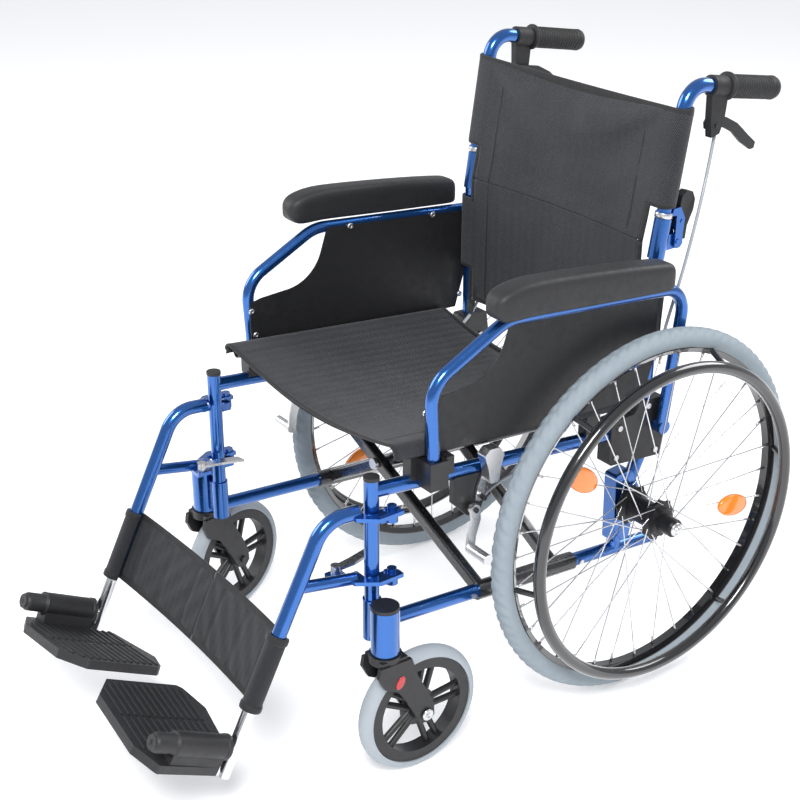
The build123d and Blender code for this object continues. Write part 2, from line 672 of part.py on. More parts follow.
def brace_half(shift):
    """A member with its foot sleeve on the left rail and its seat tube on the right side."""
    ends = [at(SIDE_X, y, lower_rail(y)) for y in SLEEVE_Y]
    rod(*ends, SLEEVE_R)
    for foot_y, seat_y in zip(BEAM_FOOT_Y, BEAM_SEAT_Y):
        foot = Vector(*at(SIDE_X, foot_y + shift, lower_rail(foot_y)))
        seat = Vector(*at(-SIDE_X, seat_y + shift, seat_tube(seat_y) - BEAM_DROP))
        across = foot - seat
        plane = Plane(origin=seat, z_dir=across, x_dir=(0, 1, 0))
        with BuildSketch(plane) as beam:
            RectangleRounded(*BEAM, 4)
            inner = [size - 2 * BEAM_WALL for size in BEAM]
            RectangleRounded(*inner, 2, mode=Mode.SUBTRACT)
        extrude(beam.sketch, amount=across.length)
    seat_ends = [at(-SIDE_X, y, seat_tube(y)) for y in SEAT_Y]
    rod(*seat_ends, TUBE_R)
    beyond = [at(SIDE_X, y, lower_rail(y)) for y in (SLEEVE_Y[0] - 60, SLEEVE_Y[1] + 60)]
    rod(*beyond, TUBE_R + RUN, mode=Mode.SUBTRACT)
    bore = [at(-SIDE_X, y, seat_tube(y)) for y in (SEAT_Y[0] - 1, SEAT_Y[1] + 1)]
    rod(*bore, TUBE_R - WALL, mode=Mode.SUBTRACT)


def pivot_point(y):
    """A point on the centre pivot line of the cross brace."""
    return Vector(*at(0, y, lower_rail(y) + PIVOT_RISE))


PIVOT_Y = [(foot + seat) / 2 for foot, seat in zip(BEAM_FOOT_Y, BEAM_SEAT_Y)]
with BuildPart() as crossbar_left_foot:
    brace_half(-11)
    for y in PIVOT_Y:
        rod(pivot_point(y - 40), pivot_point(y + 40), 5 + FIT, mode=Mode.SUBTRACT)
save(crossbar_left_foot, "crossbar_left_foot")

with BuildPart() as crossbar_mirror:
    brace_half(11)
    for y in PIVOT_Y:
        rod(pivot_point(y - 40), pivot_point(y + 40), 5 + RUN, mode=Mode.SUBTRACT)
with BuildPart() as crossbar_right_foot:
    mirror(crossbar_mirror.part, about=Plane.YZ)
save(crossbar_right_foot, "crossbar_right_foot")

with BuildPart() as cross_pivot_bolts:
    for y in PIVOT_Y:
        rod(pivot_point(y - 22), pivot_point(y + 22), 5)
        rod(pivot_point(y - 27), pivot_point(y - 21.5), 9)
        rod(pivot_point(y + 21.5), pivot_point(y + 27), 9)
save(cross_pivot_bolts, "cross_pivot_bolts")

# ---------------------------------------------------------------- upholstery
SLEEVE_CLOTH_R = 12.2
SEAT_CLOTH_Y = (-443.0, -22.0)
SEAT_TOP = 12.2
SEAT_SAG = 16.0
SLING_T = 3.0
with BuildPart() as seat_upholstery:
    front = Vector(*at(0, SEAT_CLOTH_Y[0], seat_tube(SEAT_CLOTH_Y[0])))
    rear = Vector(*at(0, SEAT_CLOTH_Y[1], seat_tube(SEAT_CLOTH_Y[1])))
    cloth_plane = Plane(origin=front, z_dir=rear - front, x_dir=(1, 0, 0))
    # section across the chair: a hammock between two loops round the seat tubes
    with BuildSketch(cloth_plane) as hammock:
        with BuildLine():
            sign = 1 if cloth_plane.y_dir.Z > 0 else -1
            top = sign * SEAT_TOP
            under = sign * (SEAT_TOP - SLING_T)
            ThreePointArc((-SIDE_X, top), (0, top - sign * SEAT_SAG), (SIDE_X, top))
            Line((SIDE_X, top), (SIDE_X, under))
            ThreePointArc((SIDE_X, under), (0, under - sign * SEAT_SAG), (-SIDE_X, under))
            Line((-SIDE_X, under), (-SIDE_X, top))
        make_face()
        with Locations((-SIDE_X, 0), (SIDE_X, 0)):
            Circle(SLEEVE_CLOTH_R)
            Circle(TUBE_R + 0.1, mode=Mode.SUBTRACT)
    extrude(hammock.sketch, amount=(rear - front).length)
    # the loops stop either side of the saddles and of the beams
    for sign in (-1, 1):
        stations = [-404, -80] + [y + sign * 11 for y in BEAM_SEAT_Y]
        for y in stations:
            block(
                (sign * SIDE_X - 19, sign * SIDE_X + 19),
                (y - 15, y + 15),
                (seat_tube(y) - 19, seat_tube(y) + 8),
                mode=Mode.SUBTRACT,
            )
save(seat_upholstery, "seat_upholstery")


def back_panel(z0, z1, depth, half_width, line):
    """A vertical sling: line(z) gives its front-to-back place at a height."""
    with BuildSketch(Plane.YZ.offset(-half_width)) as section:
        with BuildLine():
            Polyline(
                side(line(z0) - depth, z0), side(line(z1) - depth, z1),
                side(line(z1), z1), side(line(z0), z0), close=True,
            )
        make_face()
    extrude(section.sketch, amount=2 * half_width)


def cane_line(z):
    """Y of the cane axis at a height above the hinge."""
    return 38.6 + (z - 752.5) * (66 - 38.6) / (940 - 752.5)


NOTCH_TOP = 771.0
BACK_TOP = 903.0
with BuildPart() as back_upholstery_upper:
    back_panel(716, BACK_TOP, 4, 190, lambda z: cane_line(z) - 11.2)
    for sign in (-1, 1):
        start = Vector(*at(sign * SIDE_X, cane_line(NOTCH_TOP), NOTCH_TOP))
        end = Vector(*at(sign * SIDE_X, cane_line(BACK_TOP), BACK_TOP))
        rod(start, end, 14.5)
        with BuildSketch(Plane.YZ.offset(min(sign * 180, sign * SIDE_X))) as wing:
            with BuildLine():
                Polyline(
                    side(cane_line(NOTCH_TOP) - 15, NOTCH_TOP), side(cane_line(BACK_TOP) - 15, BACK_TOP),
                    side(cane_line(BACK_TOP) - 11.2, BACK_TOP), side(cane_line(NOTCH_TOP) - 11.2, NOTCH_TOP),
                    close=True,
                )
            make_face()
        extrude(wing.sketch, amount=abs(sign * SIDE_X) - 180)
        rod((start - (end - start)), (end + (end - start)), TUBE_R + 0.1,
            mode=Mode.SUBTRACT)
save(back_upholstery_upper, "back_upholstery_upper")

LOWER_BACK_Z = (505.0, 712.0)
with BuildPart() as back_upholstery_lower:
    back_panel(*LOWER_BACK_Z, 4, 205, lambda z: BACK_TUBE_Y - 11.3)
    for sign in (-1, 1):
        start = at(sign * SIDE_X, BACK_TUBE_Y, 560)
        end = at(sign * SIDE_X, BACK_TUBE_Y, 668)
        rod(start, end, 12.2)
        block(
            (min(sign * 195, sign * SIDE_X), max(sign * 195, sign * SIDE_X)),
            (BACK_TUBE_Y - 15.3, BACK_TUBE_Y - 11.3),
            (560, 668),
        )
        rod((start[0], start[1], 500), (end[0], end[1], 720), TUBE_R + 0.1, mode=Mode.SUBTRACT)
save(back_upholstery_lower, "back_upholstery_lower")

STRAP_UP = (62.0, 172.0)
with BuildPart() as calf_strap:
    low, high = (Vector(*shank(d)) for d in STRAP_UP)
    strap_plane = Plane(origin=low, z_dir=high - low, x_dir=(1, 0, 0))
    with BuildSketch(strap_plane) as band:
        with BuildLine():
            back = 1 if strap_plane.y_dir.Y > 0 else -1
            Polyline(
                (0, back * 11.4), (-SHANK_X + 0.4, back * 26), (-SHANK_X + 0.4, back * 29),
                (0, back * 14.4), close=True,
            )
        make_face()
        Circle(14.4)
        Circle(TUBE_R + 0.2, mode=Mode.SUBTRACT)
    extrude(band.sketch, amount=(high - low).length)
save_pair(calf_strap, "calf_strap")
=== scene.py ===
"""Visual model of a folding transport wheelchair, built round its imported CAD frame.

Places are written in millimetres from the floor under the rear axle and turned into
metres by P(). The chair faces -Y and its left side is +X. Left-hand pieces are built
once and mirrored for the right-hand side.
"""
import json
from math import cos, pi, radians, sin

import bmesh
import bpy
from mathutils import Matrix, Vector


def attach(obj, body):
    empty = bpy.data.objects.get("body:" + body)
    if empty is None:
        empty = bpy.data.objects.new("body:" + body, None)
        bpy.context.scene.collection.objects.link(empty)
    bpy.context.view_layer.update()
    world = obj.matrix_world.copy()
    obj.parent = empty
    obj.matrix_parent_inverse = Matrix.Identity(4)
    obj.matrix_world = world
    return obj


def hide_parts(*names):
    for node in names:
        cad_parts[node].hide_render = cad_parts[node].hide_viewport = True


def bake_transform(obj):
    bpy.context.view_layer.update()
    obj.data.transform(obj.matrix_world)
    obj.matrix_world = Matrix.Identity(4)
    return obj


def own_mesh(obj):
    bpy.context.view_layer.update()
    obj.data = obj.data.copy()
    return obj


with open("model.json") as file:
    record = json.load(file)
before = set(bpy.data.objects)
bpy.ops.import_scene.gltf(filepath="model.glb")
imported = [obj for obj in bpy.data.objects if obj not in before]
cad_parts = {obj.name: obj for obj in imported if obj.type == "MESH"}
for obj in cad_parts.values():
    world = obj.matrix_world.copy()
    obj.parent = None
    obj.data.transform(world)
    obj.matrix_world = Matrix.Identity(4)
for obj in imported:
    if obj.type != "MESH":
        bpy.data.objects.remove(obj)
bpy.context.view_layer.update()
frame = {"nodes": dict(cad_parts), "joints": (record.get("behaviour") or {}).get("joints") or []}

JOINT = {joint["name"]: joint for joint in frame["joints"]}
AXLE_Y = JOINT["left_wheel_spin"]["pos_m"][1] * 1000
WHEEL_R = JOINT["left_wheel_spin"]["pos_m"][2] * 1000
WHEEL_X = JOINT["left_wheel_spin"]["pos_m"][0] * 1000
SIDE_X = JOINT["frame_fold"]["pos_m"][0] * 1000
CASTER_X, STEM_Y = 264.0, -482.0     # axis of the left caster stem
CASTER_AXLE_Y, CASTER_AXLE_Z = -425.0, 101.3
FAR_CASTER_TURN = radians(15)        # how far the right caster is swivelled
RAIL_Z, RAIL_SLOPE = 215.6, 0.0524   # lower rail at the axle, and its rise towards the front


def P(x, y, z):
    """A point in the shared frame, from millimetres with y counted from the rear axle."""
    return Vector((x, AXLE_Y + y, z)) / 1000


# ---------------------------------------------------------------- materials
def new_material(name):
    made = bpy.data.materials.new(name)
    made.use_nodes = True
    tree = made.node_tree
    return made, tree.nodes, tree.links, tree.nodes["Principled BSDF"]


def math_node(nodes, links, operation, *values):
    node = nodes.new("ShaderNodeMath")
    node.operation = operation
    for i, value in enumerate(values):
        if isinstance(value, (int, float)):
            node.inputs[i].default_value = value
        else:
            links.new(value, node.inputs[i])
    return node.outputs[0]


def noise_node(nodes, links, coords, scale, detail=4.0, roughness=0.55):
    node = nodes.new("ShaderNodeTexNoise")
    node.inputs["Scale"].default_value = scale
    node.inputs["Detail"].default_value = detail
    node.inputs["Roughness"].default_value = roughness
    links.new(coords, node.inputs["Vector"])
    return node.outputs["Fac"]


def mix_colour(nodes, links, factor, first, second):
    node = nodes.new("ShaderNodeMix")
    node.data_type = "RGBA"
    links.new(factor, node.inputs[0])
    for socket, value in ((node.inputs[6], first), (node.inputs[7], second)):
        if isinstance(value, (tuple, list)):
            socket.default_value = (*value, 1)
        else:
            links.new(value, socket)
    return node.outputs[2]


def span(nodes, links, value, low, high, from_low=0.3, from_high=0.7):
    node = nodes.new("ShaderNodeMapRange")
    node.inputs[1].default_value = from_low
    node.inputs[2].default_value = from_high
    node.inputs[3].default_value = low
    node.inputs[4].default_value = high
    links.new(value, node.inputs[0])
    return node.outputs[0]


def bump_node(nodes, links, height, strength, depth):
    node = nodes.new("ShaderNodeBump")
    node.inputs["Strength"].default_value = strength
    node.inputs["Distance"].default_value = depth
    links.new(height, node.inputs["Height"])
    return node.outputs["Normal"]


def shade(colour, factor):
    return tuple(min(1.0, c * factor) for c in colour)


def surface(name, colour, rough, metal=0.0, coat=0.0, coat_rough=0.06, sheen=0.0, vary=0.2,
            vary_scale=35.0, grain=0.0, grain_scale=1400.0, smudge=0.08, wear=None, wear_amount=0.35):
    """A finish with uneven colour, uneven gloss, a fine grain, and scuffs where wear is a colour."""
    made, nodes, links, shader = new_material(name)
    coords = nodes.new("ShaderNodeTexCoord").outputs["Object"]
    patches = noise_node(nodes, links, coords, vary_scale)
    tone = mix_colour(nodes, links, patches, shade(colour, 1 - vary), shade(colour, 1 + vary))
    if wear:
        scuffs = noise_node(nodes, links, coords, 210.0, 8.0, 0.72)
        where = noise_node(nodes, links, coords, 14.0, 2.0)
        scratched = math_node(nodes, links, "MULTIPLY", span(nodes, links, scuffs, 0, 1, 0.62, 0.7),
                              span(nodes, links, where, 0, wear_amount, 0.5, 0.7))
        tone = mix_colour(nodes, links, scratched, tone, wear)
    links.new(tone, shader.inputs["Base Color"])
    gloss = span(nodes, links, noise_node(nodes, links, coords, 90.0, 5.0), max(0.02, rough - smudge),
                 rough + smudge)
    links.new(gloss, shader.inputs["Roughness"])
    shader.inputs["Metallic"].default_value = metal
    shader.inputs["Coat Weight"].default_value = coat
    shader.inputs["Coat Roughness"].default_value = coat_rough
    if sheen:
        shader.inputs["Sheen Weight"].default_value = sheen
        shader.inputs["Sheen Roughness"].default_value = 0.4
    if grain:
        fine = noise_node(nodes, links, coords, grain_scale, 3.0)
        links.new(bump_node(nodes, links, fine, grain, 0.0004), shader.inputs["Normal"])
    return made


def brushed(name, colour, rough, stretch=(1, 1, 30), scale=260.0, strength=0.12):
    """Plated steel with fine drawn lines."""
    made, nodes, links, shader = new_material(name)
    coords = nodes.new("ShaderNodeTexCoord").outputs["Object"]
    mapping = nodes.new("ShaderNodeMapping")
    mapping.inputs["Scale"].default_value = stretch
    links.new(coords, mapping.inputs["Vector"])
    lines = noise_node(nodes, links, mapping.outputs[0], scale, 4.0)
    links.new(mix_colour(nodes, links, lines, shade(colour, 0.8), shade(colour, 1.15)),
              shader.inputs["Base Color"])
    links.new(span(nodes, links, lines, rough * 0.7, rough * 1.3), shader.inputs["Roughness"])
    shader.inputs["Metallic"].default_value = 1.0
    links.new(bump_node(nodes, links, lines, strength, 0.0002), shader.inputs["Normal"])
    return made


def woven(name, dark, light, thread=3.2, zigzag=9.0):
    """Herringbone mesh cloth with painted shade in the grooves between threads; thread and zigzag are in
    millimetres, UVs in metres.
    """
    made, nodes, links, shader = new_material(name)
    split = nodes.new("ShaderNodeSeparateXYZ")
    coords = nodes.new("ShaderNodeTexCoord")
    links.new(coords.outputs["UV"], split.inputs[0])
    u, v = split.outputs[0], split.outputs[1]
    fold = math_node(nodes, links, "PINGPONG", u, zigzag / 1000)
    slanted = math_node(nodes, links, "ADD", v, fold)
    wave = math_node(nodes, links, "SINE", math_node(nodes, links, "MULTIPLY", slanted, 2000 * pi / thread))
    dots = math_node(nodes, links, "SINE", math_node(nodes, links, "MULTIPLY", u, 2000 * pi / 1.75))
    weave = math_node(nodes, links, "MULTIPLY_ADD", wave, 0.32, 0.5)
    weave = math_node(nodes, links, "MULTIPLY_ADD", dots, 0.2, weave)
    speckle = noise_node(nodes, links, coords.outputs["Object"], 700.0, 2.0)
    threads = math_node(nodes, links, "MULTIPLY_ADD", math_node(nodes, links, "SUBTRACT", speckle, 0.5), 0.9,
                        weave)
    # Painted shade and light: the cloth is dark in the grooves between threads and lighter on the raised
    # threads, following the same relief that the bump below gives.
    painted_groove_shade = math_node(nodes, links, "POWER", span(nodes, links, threads, 0, 1, 0.1, 1.0), 1.6)
    tone = mix_colour(nodes, links, painted_groove_shade, dark, light)
    worn = noise_node(nodes, links, coords.outputs["Object"], 9.0, 3.0)
    tone = mix_colour(nodes, links, span(nodes, links, worn, 0, 0.35), tone, shade(dark, 1.6))
    links.new(tone, shader.inputs["Base Color"])
    shader.inputs["Roughness"].default_value = 0.85
    shader.inputs["Sheen Weight"].default_value = 0.12
    shader.inputs["Sheen Roughness"].default_value = 0.5
    shader.inputs["Specular IOR Level"].default_value = 0.3
    links.new(bump_node(nodes, links, threads, 0.75, 0.0006), shader.inputs["Normal"])
    return made


BLUE = (0.012, 0.112, 0.41)
BLACK = (0.011, 0.011, 0.012)
mat_blue = surface("blue_lacquer", BLUE, 0.2, metal=0.88, coat=1.0, coat_rough=0.03, vary=0.1,
                   vary_scale=1800.0, grain=0.03, grain_scale=500.0, smudge=0.04)
mat_black_steel = surface("black_lacquer", BLACK, 0.28, metal=0.0, coat=0.8, coat_rough=0.08,
                          grain=0.05, grain_scale=700.0, wear=(0.16, 0.16, 0.165), wear_amount=0.25)
mat_black_plastic = surface("black_moulding", BLACK, 0.42, vary=0.35, grain=0.18,
                            wear=(0.05, 0.05, 0.052), wear_amount=0.3)
mat_gloss_black = surface("gloss_black_rim", (0.008, 0.008, 0.009), 0.16, coat=1.0, coat_rough=0.03, vary=0.2,
                          grain=0.02, grain_scale=300.0, smudge=0.05)
mat_hub = surface("black_hub", (0.02, 0.02, 0.022), 0.33, metal=0.6, grain=0.08, wear=(0.3, 0.3, 0.31))
mat_panel = surface("panel_sheet", (0.009, 0.009, 0.010), 0.5, vary=0.25, grain=0.3, grain_scale=1900.0)
mat_tyre = surface("grey_blue_tyre", (0.25, 0.295, 0.33), 0.72, vary=0.1, vary_scale=60.0, grain=0.35,
                   grain_scale=900.0, wear=(0.11, 0.12, 0.13), wear_amount=0.35)
mat_caster_tyre = surface("grey_caster_tyre", (0.33, 0.365, 0.40), 0.55, vary=0.08, grain=0.15,
                          wear=(0.14, 0.145, 0.15), wear_amount=0.3)
mat_pad = surface("pad_skin", (0.012, 0.0122, 0.0135), 0.55, vary=0.16, grain=0.5, grain_scale=1100.0,
                  sheen=0.05)
mat_grip = surface("grip_rubber", (0.012, 0.012, 0.013), 0.62, vary=0.2, grain=0.35, grain_scale=1500.0)
mat_plate = surface("plate_moulding", (0.016, 0.016, 0.018), 0.5, vary=0.25, grain=0.35, grain_scale=1300.0,
                    wear=(0.1, 0.1, 0.1), wear_amount=0.5)
mat_cable = surface("cable_sheath", (0.30, 0.32, 0.35), 0.38, coat=0.3, grain=0.1)
mat_white = surface("white_moulding", (0.62, 0.62, 0.63), 0.4, vary=0.06, grain=0.1)
mat_amber = surface("amber_reflector", (0.95, 0.235, 0.012), 0.16, coat=1.0, coat_rough=0.02, vary=0.12,
                    vary_scale=500.0, grain=0.5, grain_scale=420.0)
mat_red = surface("red_inlay", (0.45, 0.012, 0.02), 0.3, coat=0.6, vary=0.1, grain=0.08)
mat_webbing = surface("webbing", (0.012, 0.012, 0.013), 0.78, vary=0.3, vary_scale=400.0, grain=0.6,
                      grain_scale=1600.0, sheen=0.15)
mat_thread = surface("thread", (0.05, 0.052, 0.056), 0.7, vary=0.3, vary_scale=900.0, grain=0.3)
mat_zinc = brushed("zinc_plate", (0.62, 0.62, 0.63), 0.3)
mat_chrome = brushed("bright_chrome", (0.74, 0.75, 0.77), 0.09, (1, 4, 4), 120.0, 0.03)
mat_spoke = brushed("spoke_steel", (0.66, 0.66, 0.68), 0.24)
mat_seat = woven("seat_mesh_cloth", (0.004, 0.0042, 0.005), (0.088, 0.092, 0.106))
mat_strap = woven("strap_mesh_cloth", (0.003, 0.0032, 0.004), (0.062, 0.065, 0.074), 2.6, 6.0)

NODE_FINISH = {
    "side_frame": mat_blue, "plastic_fittings": mat_black_plastic, "rail_fittings": mat_black_plastic,
    "frame_bolts": mat_zinc, "rim": mat_gloss_black, "hub": mat_hub, "spokes": mat_spoke,
    "handrim": mat_gloss_black, "caster_fork": mat_black_plastic, "caster_wheel": mat_black_plastic,
    "caster_tyre": mat_caster_tyre, "armrest_tube": mat_blue, "side_panel": mat_panel, "hanger": mat_blue,
    "hanger_latch": mat_zinc, "footrest_extension": mat_chrome, "footplate": mat_plate,
    "back_cane": mat_blue, "back_release": mat_black_plastic, "push_grip": mat_grip,
    "brake_lever": mat_black_plastic, "lock_handle": mat_zinc, "lock_arm": mat_zinc,
    "crossbar_left_foot": mat_black_steel, "crossbar_right_foot": mat_black_steel,
    "cross_pivot_bolts": mat_zinc, "brake_cable": mat_cable,
}


def dress_frame():
    """Gives every CAD node that stays visible its finish."""
    for name, node in frame["nodes"].items():
        kind = name.removeprefix("left_").removeprefix("right_")
        if kind in NODE_FINISH:
            node.data.materials.clear()
            node.data.materials.append(NODE_FINISH[kind])


# ---------------------------------------------------------------- mesh helpers
def add_mesh(name, points, faces, finish, uvs=None, smooth=True):
    mesh = bpy.data.meshes.new(name)
    mesh.from_pydata([tuple(p) for p in points], [], faces)
    mesh.materials.append(finish)
    if uvs:
        layer = mesh.uv_layers.new(name="UVMap")
        for loop in mesh.loops:
            layer.data[loop.index].uv = uvs[loop.vertex_index]
    mesh.polygons.foreach_set("use_smooth", [smooth] * len(mesh.polygons))
    mesh.update()
    made = bpy.data.objects.new(name, mesh)
    bpy.context.scene.collection.objects.link(made)
    return made


def loft(name, rings, finish, closed_length=False, smooth=True):
    """Skins closed rings of equal size; the ends are capped unless the last ring meets the first."""
    count = len(rings[0])
    points = [p for ring in rings for p in ring]
    faces = []
    last = len(rings) if closed_length else len(rings) - 1
    for i in range(last):
        a, b = i * count, ((i + 1) % len(rings)) * count
        faces += [(a + j, a + (j + 1) % count, b + (j + 1) % count, b + j) for j in range(count)]
    if not closed_length:
        faces.append(tuple(reversed(range(count))))
        faces.append(tuple(range((len(rings) - 1) * count, len(rings) * count)))
    made = add_mesh(name, points, faces, finish, smooth=smooth)
    return outward(made)


def outward(made):
    """Points every face of a closed mesh outwards."""
    work = bmesh.new()
    work.from_mesh(made.data)
    bmesh.ops.recalc_face_normals(work, faces=work.faces)
    work.to_mesh(made.data)
    work.free()
    return made


def frame_along(direction):
    """Two unit vectors square to a direction."""
    way = Vector(direction).normalized()
    helper = Vector((0, 0, 1)) if abs(way.z) < 0.9 else Vector((1, 0, 0))
    across = way.cross(helper).normalized()
    return way, across, way.cross(across).normalized()


def lathe(name, origin, direction, profile, finish, segments=48):
    """Turns (distance along, radius) pairs, in millimetres, about an axis."""
    way, a, b = frame_along(direction)
    rings = []
    for along, radius in profile:
        centre = Vector(origin) + way * along / 1000
        rings.append([
            centre + (a * cos(2 * pi * i / segments) + b * sin(2 * pi * i / segments)) * radius / 1000
            for i in range(segments)
        ])
    return loft(name, rings, finish)


def apply_modifiers(made):
    """Turns an object's modifiers into its mesh."""
    graph = bpy.context.evaluated_depsgraph_get()
    result = bpy.data.meshes.new_from_object(made.evaluated_get(graph))
    made.modifiers.clear()
    made.data = result
    return made


def refine(made, levels):
    made.modifiers.new("smooth", "SUBSURF").levels = levels
    made.modifiers["smooth"].render_levels = levels
    return apply_modifiers(made)


def thicken(made, thickness, offset=-1.0):
    """Gives a sheet its thickness, in millimetres."""
    shell = made.modifiers.new("thickness", "SOLIDIFY")
    shell.thickness = thickness / 1000
    shell.offset = offset
    shell.use_even_offset = True
    return apply_modifiers(made)


def mirrored(made, name):
    """The same piece for the other side of the chair."""
    twin = made.copy()
    twin.name = name
    twin.data = made.data.copy()
    twin.data.transform(Matrix.Scale(-1, 4, (1, 0, 0)))
    twin.data.flip_normals()
    bpy.context.scene.collection.objects.link(twin)
    return twin


def pair(left, label, body, slot_name, *replaced, fold=None):
    """Finishes a left-hand piece and makes its mirror; body and replaced nodes lose their side."""
    right = mirrored(left, f"right_{label}")
    left.name = f"left_{label}"
    for made, hand, sign in ((left, "left", 1), (right, "right", -1)):
        if replaced:
            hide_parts(*[f"{hand}_{node}" for node in replaced])
        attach(made, f"{hand}_{body}")
        if fold:
            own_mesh(made)
    return left, right


def sheet_grid(name, rows, finish, keep_face=None):
    """A sheet from rows of points; UVs are distances along the sheet, in metres."""
    columns = len(rows[0])
    points, uvs, faces = [], [], []
    climb = 0.0
    middle = columns // 2
    for i, row in enumerate(rows):
        if i:
            climb += (row[middle] - rows[i - 1][middle]).length
        run = 0.0
        for j, point in enumerate(row):
            if j:
                run += (point - row[j - 1]).length
            points.append(point)
            uvs.append((run, climb))
    for i in range(len(rows) - 1):
        for j in range(columns - 1):
            if keep_face is None or keep_face(i, j):
                a = i * columns + j
                faces.append((a, a + 1, a + columns + 1, a + columns))
    made = add_mesh(name, points, faces, finish, uvs)
    work = bmesh.new()
    work.from_mesh(made.data)
    bmesh.ops.delete(work, geom=[v for v in work.verts if not v.link_faces], context="VERTS")
    work.to_mesh(made.data)
    work.free()
    return made


CLOTH_FRAMES = 24


def settle(made, pinned, gravity, cap):
    """Lets a sheet settle as cloth between its pinned points, no point moving more than cap mm."""
    start = [v.co.copy() for v in made.data.vertices]
    group = made.vertex_groups.new(name="held")
    for v, at_rest in zip(made.data.vertices, start):
        group.add([v.index], pinned(at_rest), "REPLACE")
    cloth = made.modifiers.new("cloth", "CLOTH")
    cloth.settings.quality = 6
    cloth.settings.mass = 0.25
    cloth.settings.tension_stiffness = 40
    cloth.settings.compression_stiffness = 40
    cloth.settings.shear_stiffness = 12
    cloth.settings.bending_stiffness = 0.6
    cloth.settings.vertex_group_mass = "held"
    cloth.settings.effector_weights.gravity = gravity
    cloth.collision_settings.use_collision = False
    scene = bpy.context.scene
    cloth.point_cache.frame_start = 1
    cloth.point_cache.frame_end = CLOTH_FRAMES
    for step in range(1, CLOTH_FRAMES + 1):
        scene.frame_set(step)
    made = apply_modifiers(made)
    for v, at_rest in zip(made.data.vertices, start):
        moved = v.co - at_rest
        if moved.length > cap / 1000:
            v.co = at_rest + moved.normalized() * cap / 1000
    scene.frame_set(1)
    return made


RIBBON_SIDES = 16


def ribbon(name, points, width, thickness, finish, normal):
    """A soft flat band along points: width across the path, thickness along the normal function."""
    rings = []
    for i, point in enumerate(points):
        before, after = points[max(0, i - 1)], points[min(len(points) - 1, i + 1)]
        way = (after - before).normalized()
        up = normal(point, i)
        up = (up - way * up.dot(way)).normalized()
        across = way.cross(up).normalized()
        ring = []
        for k in range(RIBBON_SIDES):
            turn = 2 * pi * k / RIBBON_SIDES
            c, s = cos(turn), sin(turn)
            flat = abs(c) ** 0.35 * (1 if c >= 0 else -1)
            ring.append(point + across * flat * width / 2000 + up * s * thickness / 2000)
        rings.append(ring)
    return loft(name, rings, finish)


STITCH, STITCH_GAP = 2.6, 1.7
THREAD_SIDES = 6


def stitches(name, points, finish, normal, radius=0.38):
    """A row of short threads lying on a surface."""
    path, faces = [], []
    travelled, place = 0.0, []
    for a, b in zip(points, points[1:]):
        place.append((travelled, a, b))
        travelled += (b - a).length * 1000
    count = int(travelled / (STITCH + STITCH_GAP))
    index = 0
    for i in range(count):
        for offset in (0.0, STITCH):
            want = i * (STITCH + STITCH_GAP) + offset
            while index + 1 < len(place) and place[index + 1][0] <= want:
                index += 1
            begin, a, b = place[index]
            way = (b - a).normalized()
            up = normal(a, index)
            across = way.cross(up).normalized()
            centre = a + way * (want - begin) / 1000
            for k in range(THREAD_SIDES):
                turn = 2 * pi * k / THREAD_SIDES
                path.append(centre + (across * cos(turn) + up * sin(turn)) * radius / 1000)
        near = i * 2 * THREAD_SIDES
        far = near + THREAD_SIDES
        for k in range(THREAD_SIDES):
            after = (k + 1) % THREAD_SIDES
            faces.append((near + k, near + after, far + after, far + k))
        faces.append(tuple(near + k for k in reversed(range(THREAD_SIDES))))
        faces.append(tuple(far + k for k in range(THREAD_SIDES)))
    return outward(add_mesh(name, path, faces, finish))


# ---------------------------------------------------------------- rear wheels
TYRE_R = 16.5
TYRE_CENTRE_R = WHEEL_R - TYRE_R


def make_tyre():
    """A torus with herringbone blocks moulded into the running surface."""
    around, section, pitch_count = (720, 40, 90)
    rings = []
    for i in range(around):
        turn = 2 * pi * i / around
        ring = []
        for j in range(section):
            angle = 2 * pi * j / section
            outwardness = cos(angle)
            side_turn = sin(angle)
            reach = TYRE_R
            if outwardness > 0.25:
                slant = abs(side_turn) * 2.2
                block = sin(pitch_count * turn + slant * 2.4)
                groove = min(1.0, (outwardness - 0.25) * 4)
                reach += groove * (0.15 if block > -0.15 else -1.15)
                if abs(side_turn) < 0.09:
                    reach -= 0.9
            radius = TYRE_CENTRE_R + reach * outwardness
            ring.append(P(WHEEL_X + reach * side_turn, radius * sin(turn), WHEEL_R + radius * cos(turn)))
        rings.append(ring)
    tyre = loft("tyre", rings, mat_tyre, closed_length=True)
    pair(tyre, "tyre_tread", "rear_wheel", "tyre_grey", "tyre")


def oval_plate(name, centre, across, up, normal, half_long, half_short, depth, finish):
    """A domed oval, such as a reflector."""
    rings = []
    for level, scale in ((-0.5, 0.94), (-0.35, 1.0), (0.2, 1.0), (0.42, 0.9), (0.5, 0.72), (0.54, 0.4)):
        rings.append([
            centre + across * cos(2 * pi * k / 40) * half_long * scale / 1000
            + up * sin(2 * pi * k / 40) * half_short * scale / 1000 + normal * level * depth / 1000
            for k in range(40)
        ])
    return loft(name, rings, finish)


NEAR_REFLECTORS = ((-135, 395), (199, 252))     # y, z
FAR_REFLECTORS = ((-168, 212), (194, 320))


def add_reflectors():
    """Amber ovals clipped between the spokes, two to a wheel."""
    for hand, sign, places in (("left", 1, NEAR_REFLECTORS), ("right", -1, FAR_REFLECTORS)):
        for i, (y, z) in enumerate(places):
            radial = Vector((0, y, z - WHEEL_R)).normalized()
            along = Vector((1, 0, 0)).cross(radial)
            disc = oval_plate(f"{hand}_reflector_{i}", P(sign * (WHEEL_X - 1), y, z), radial, along,
                              Vector((sign, 0, 0)), 33, 19, 9, mat_amber)
            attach(disc, f"{hand}_rear_wheel")


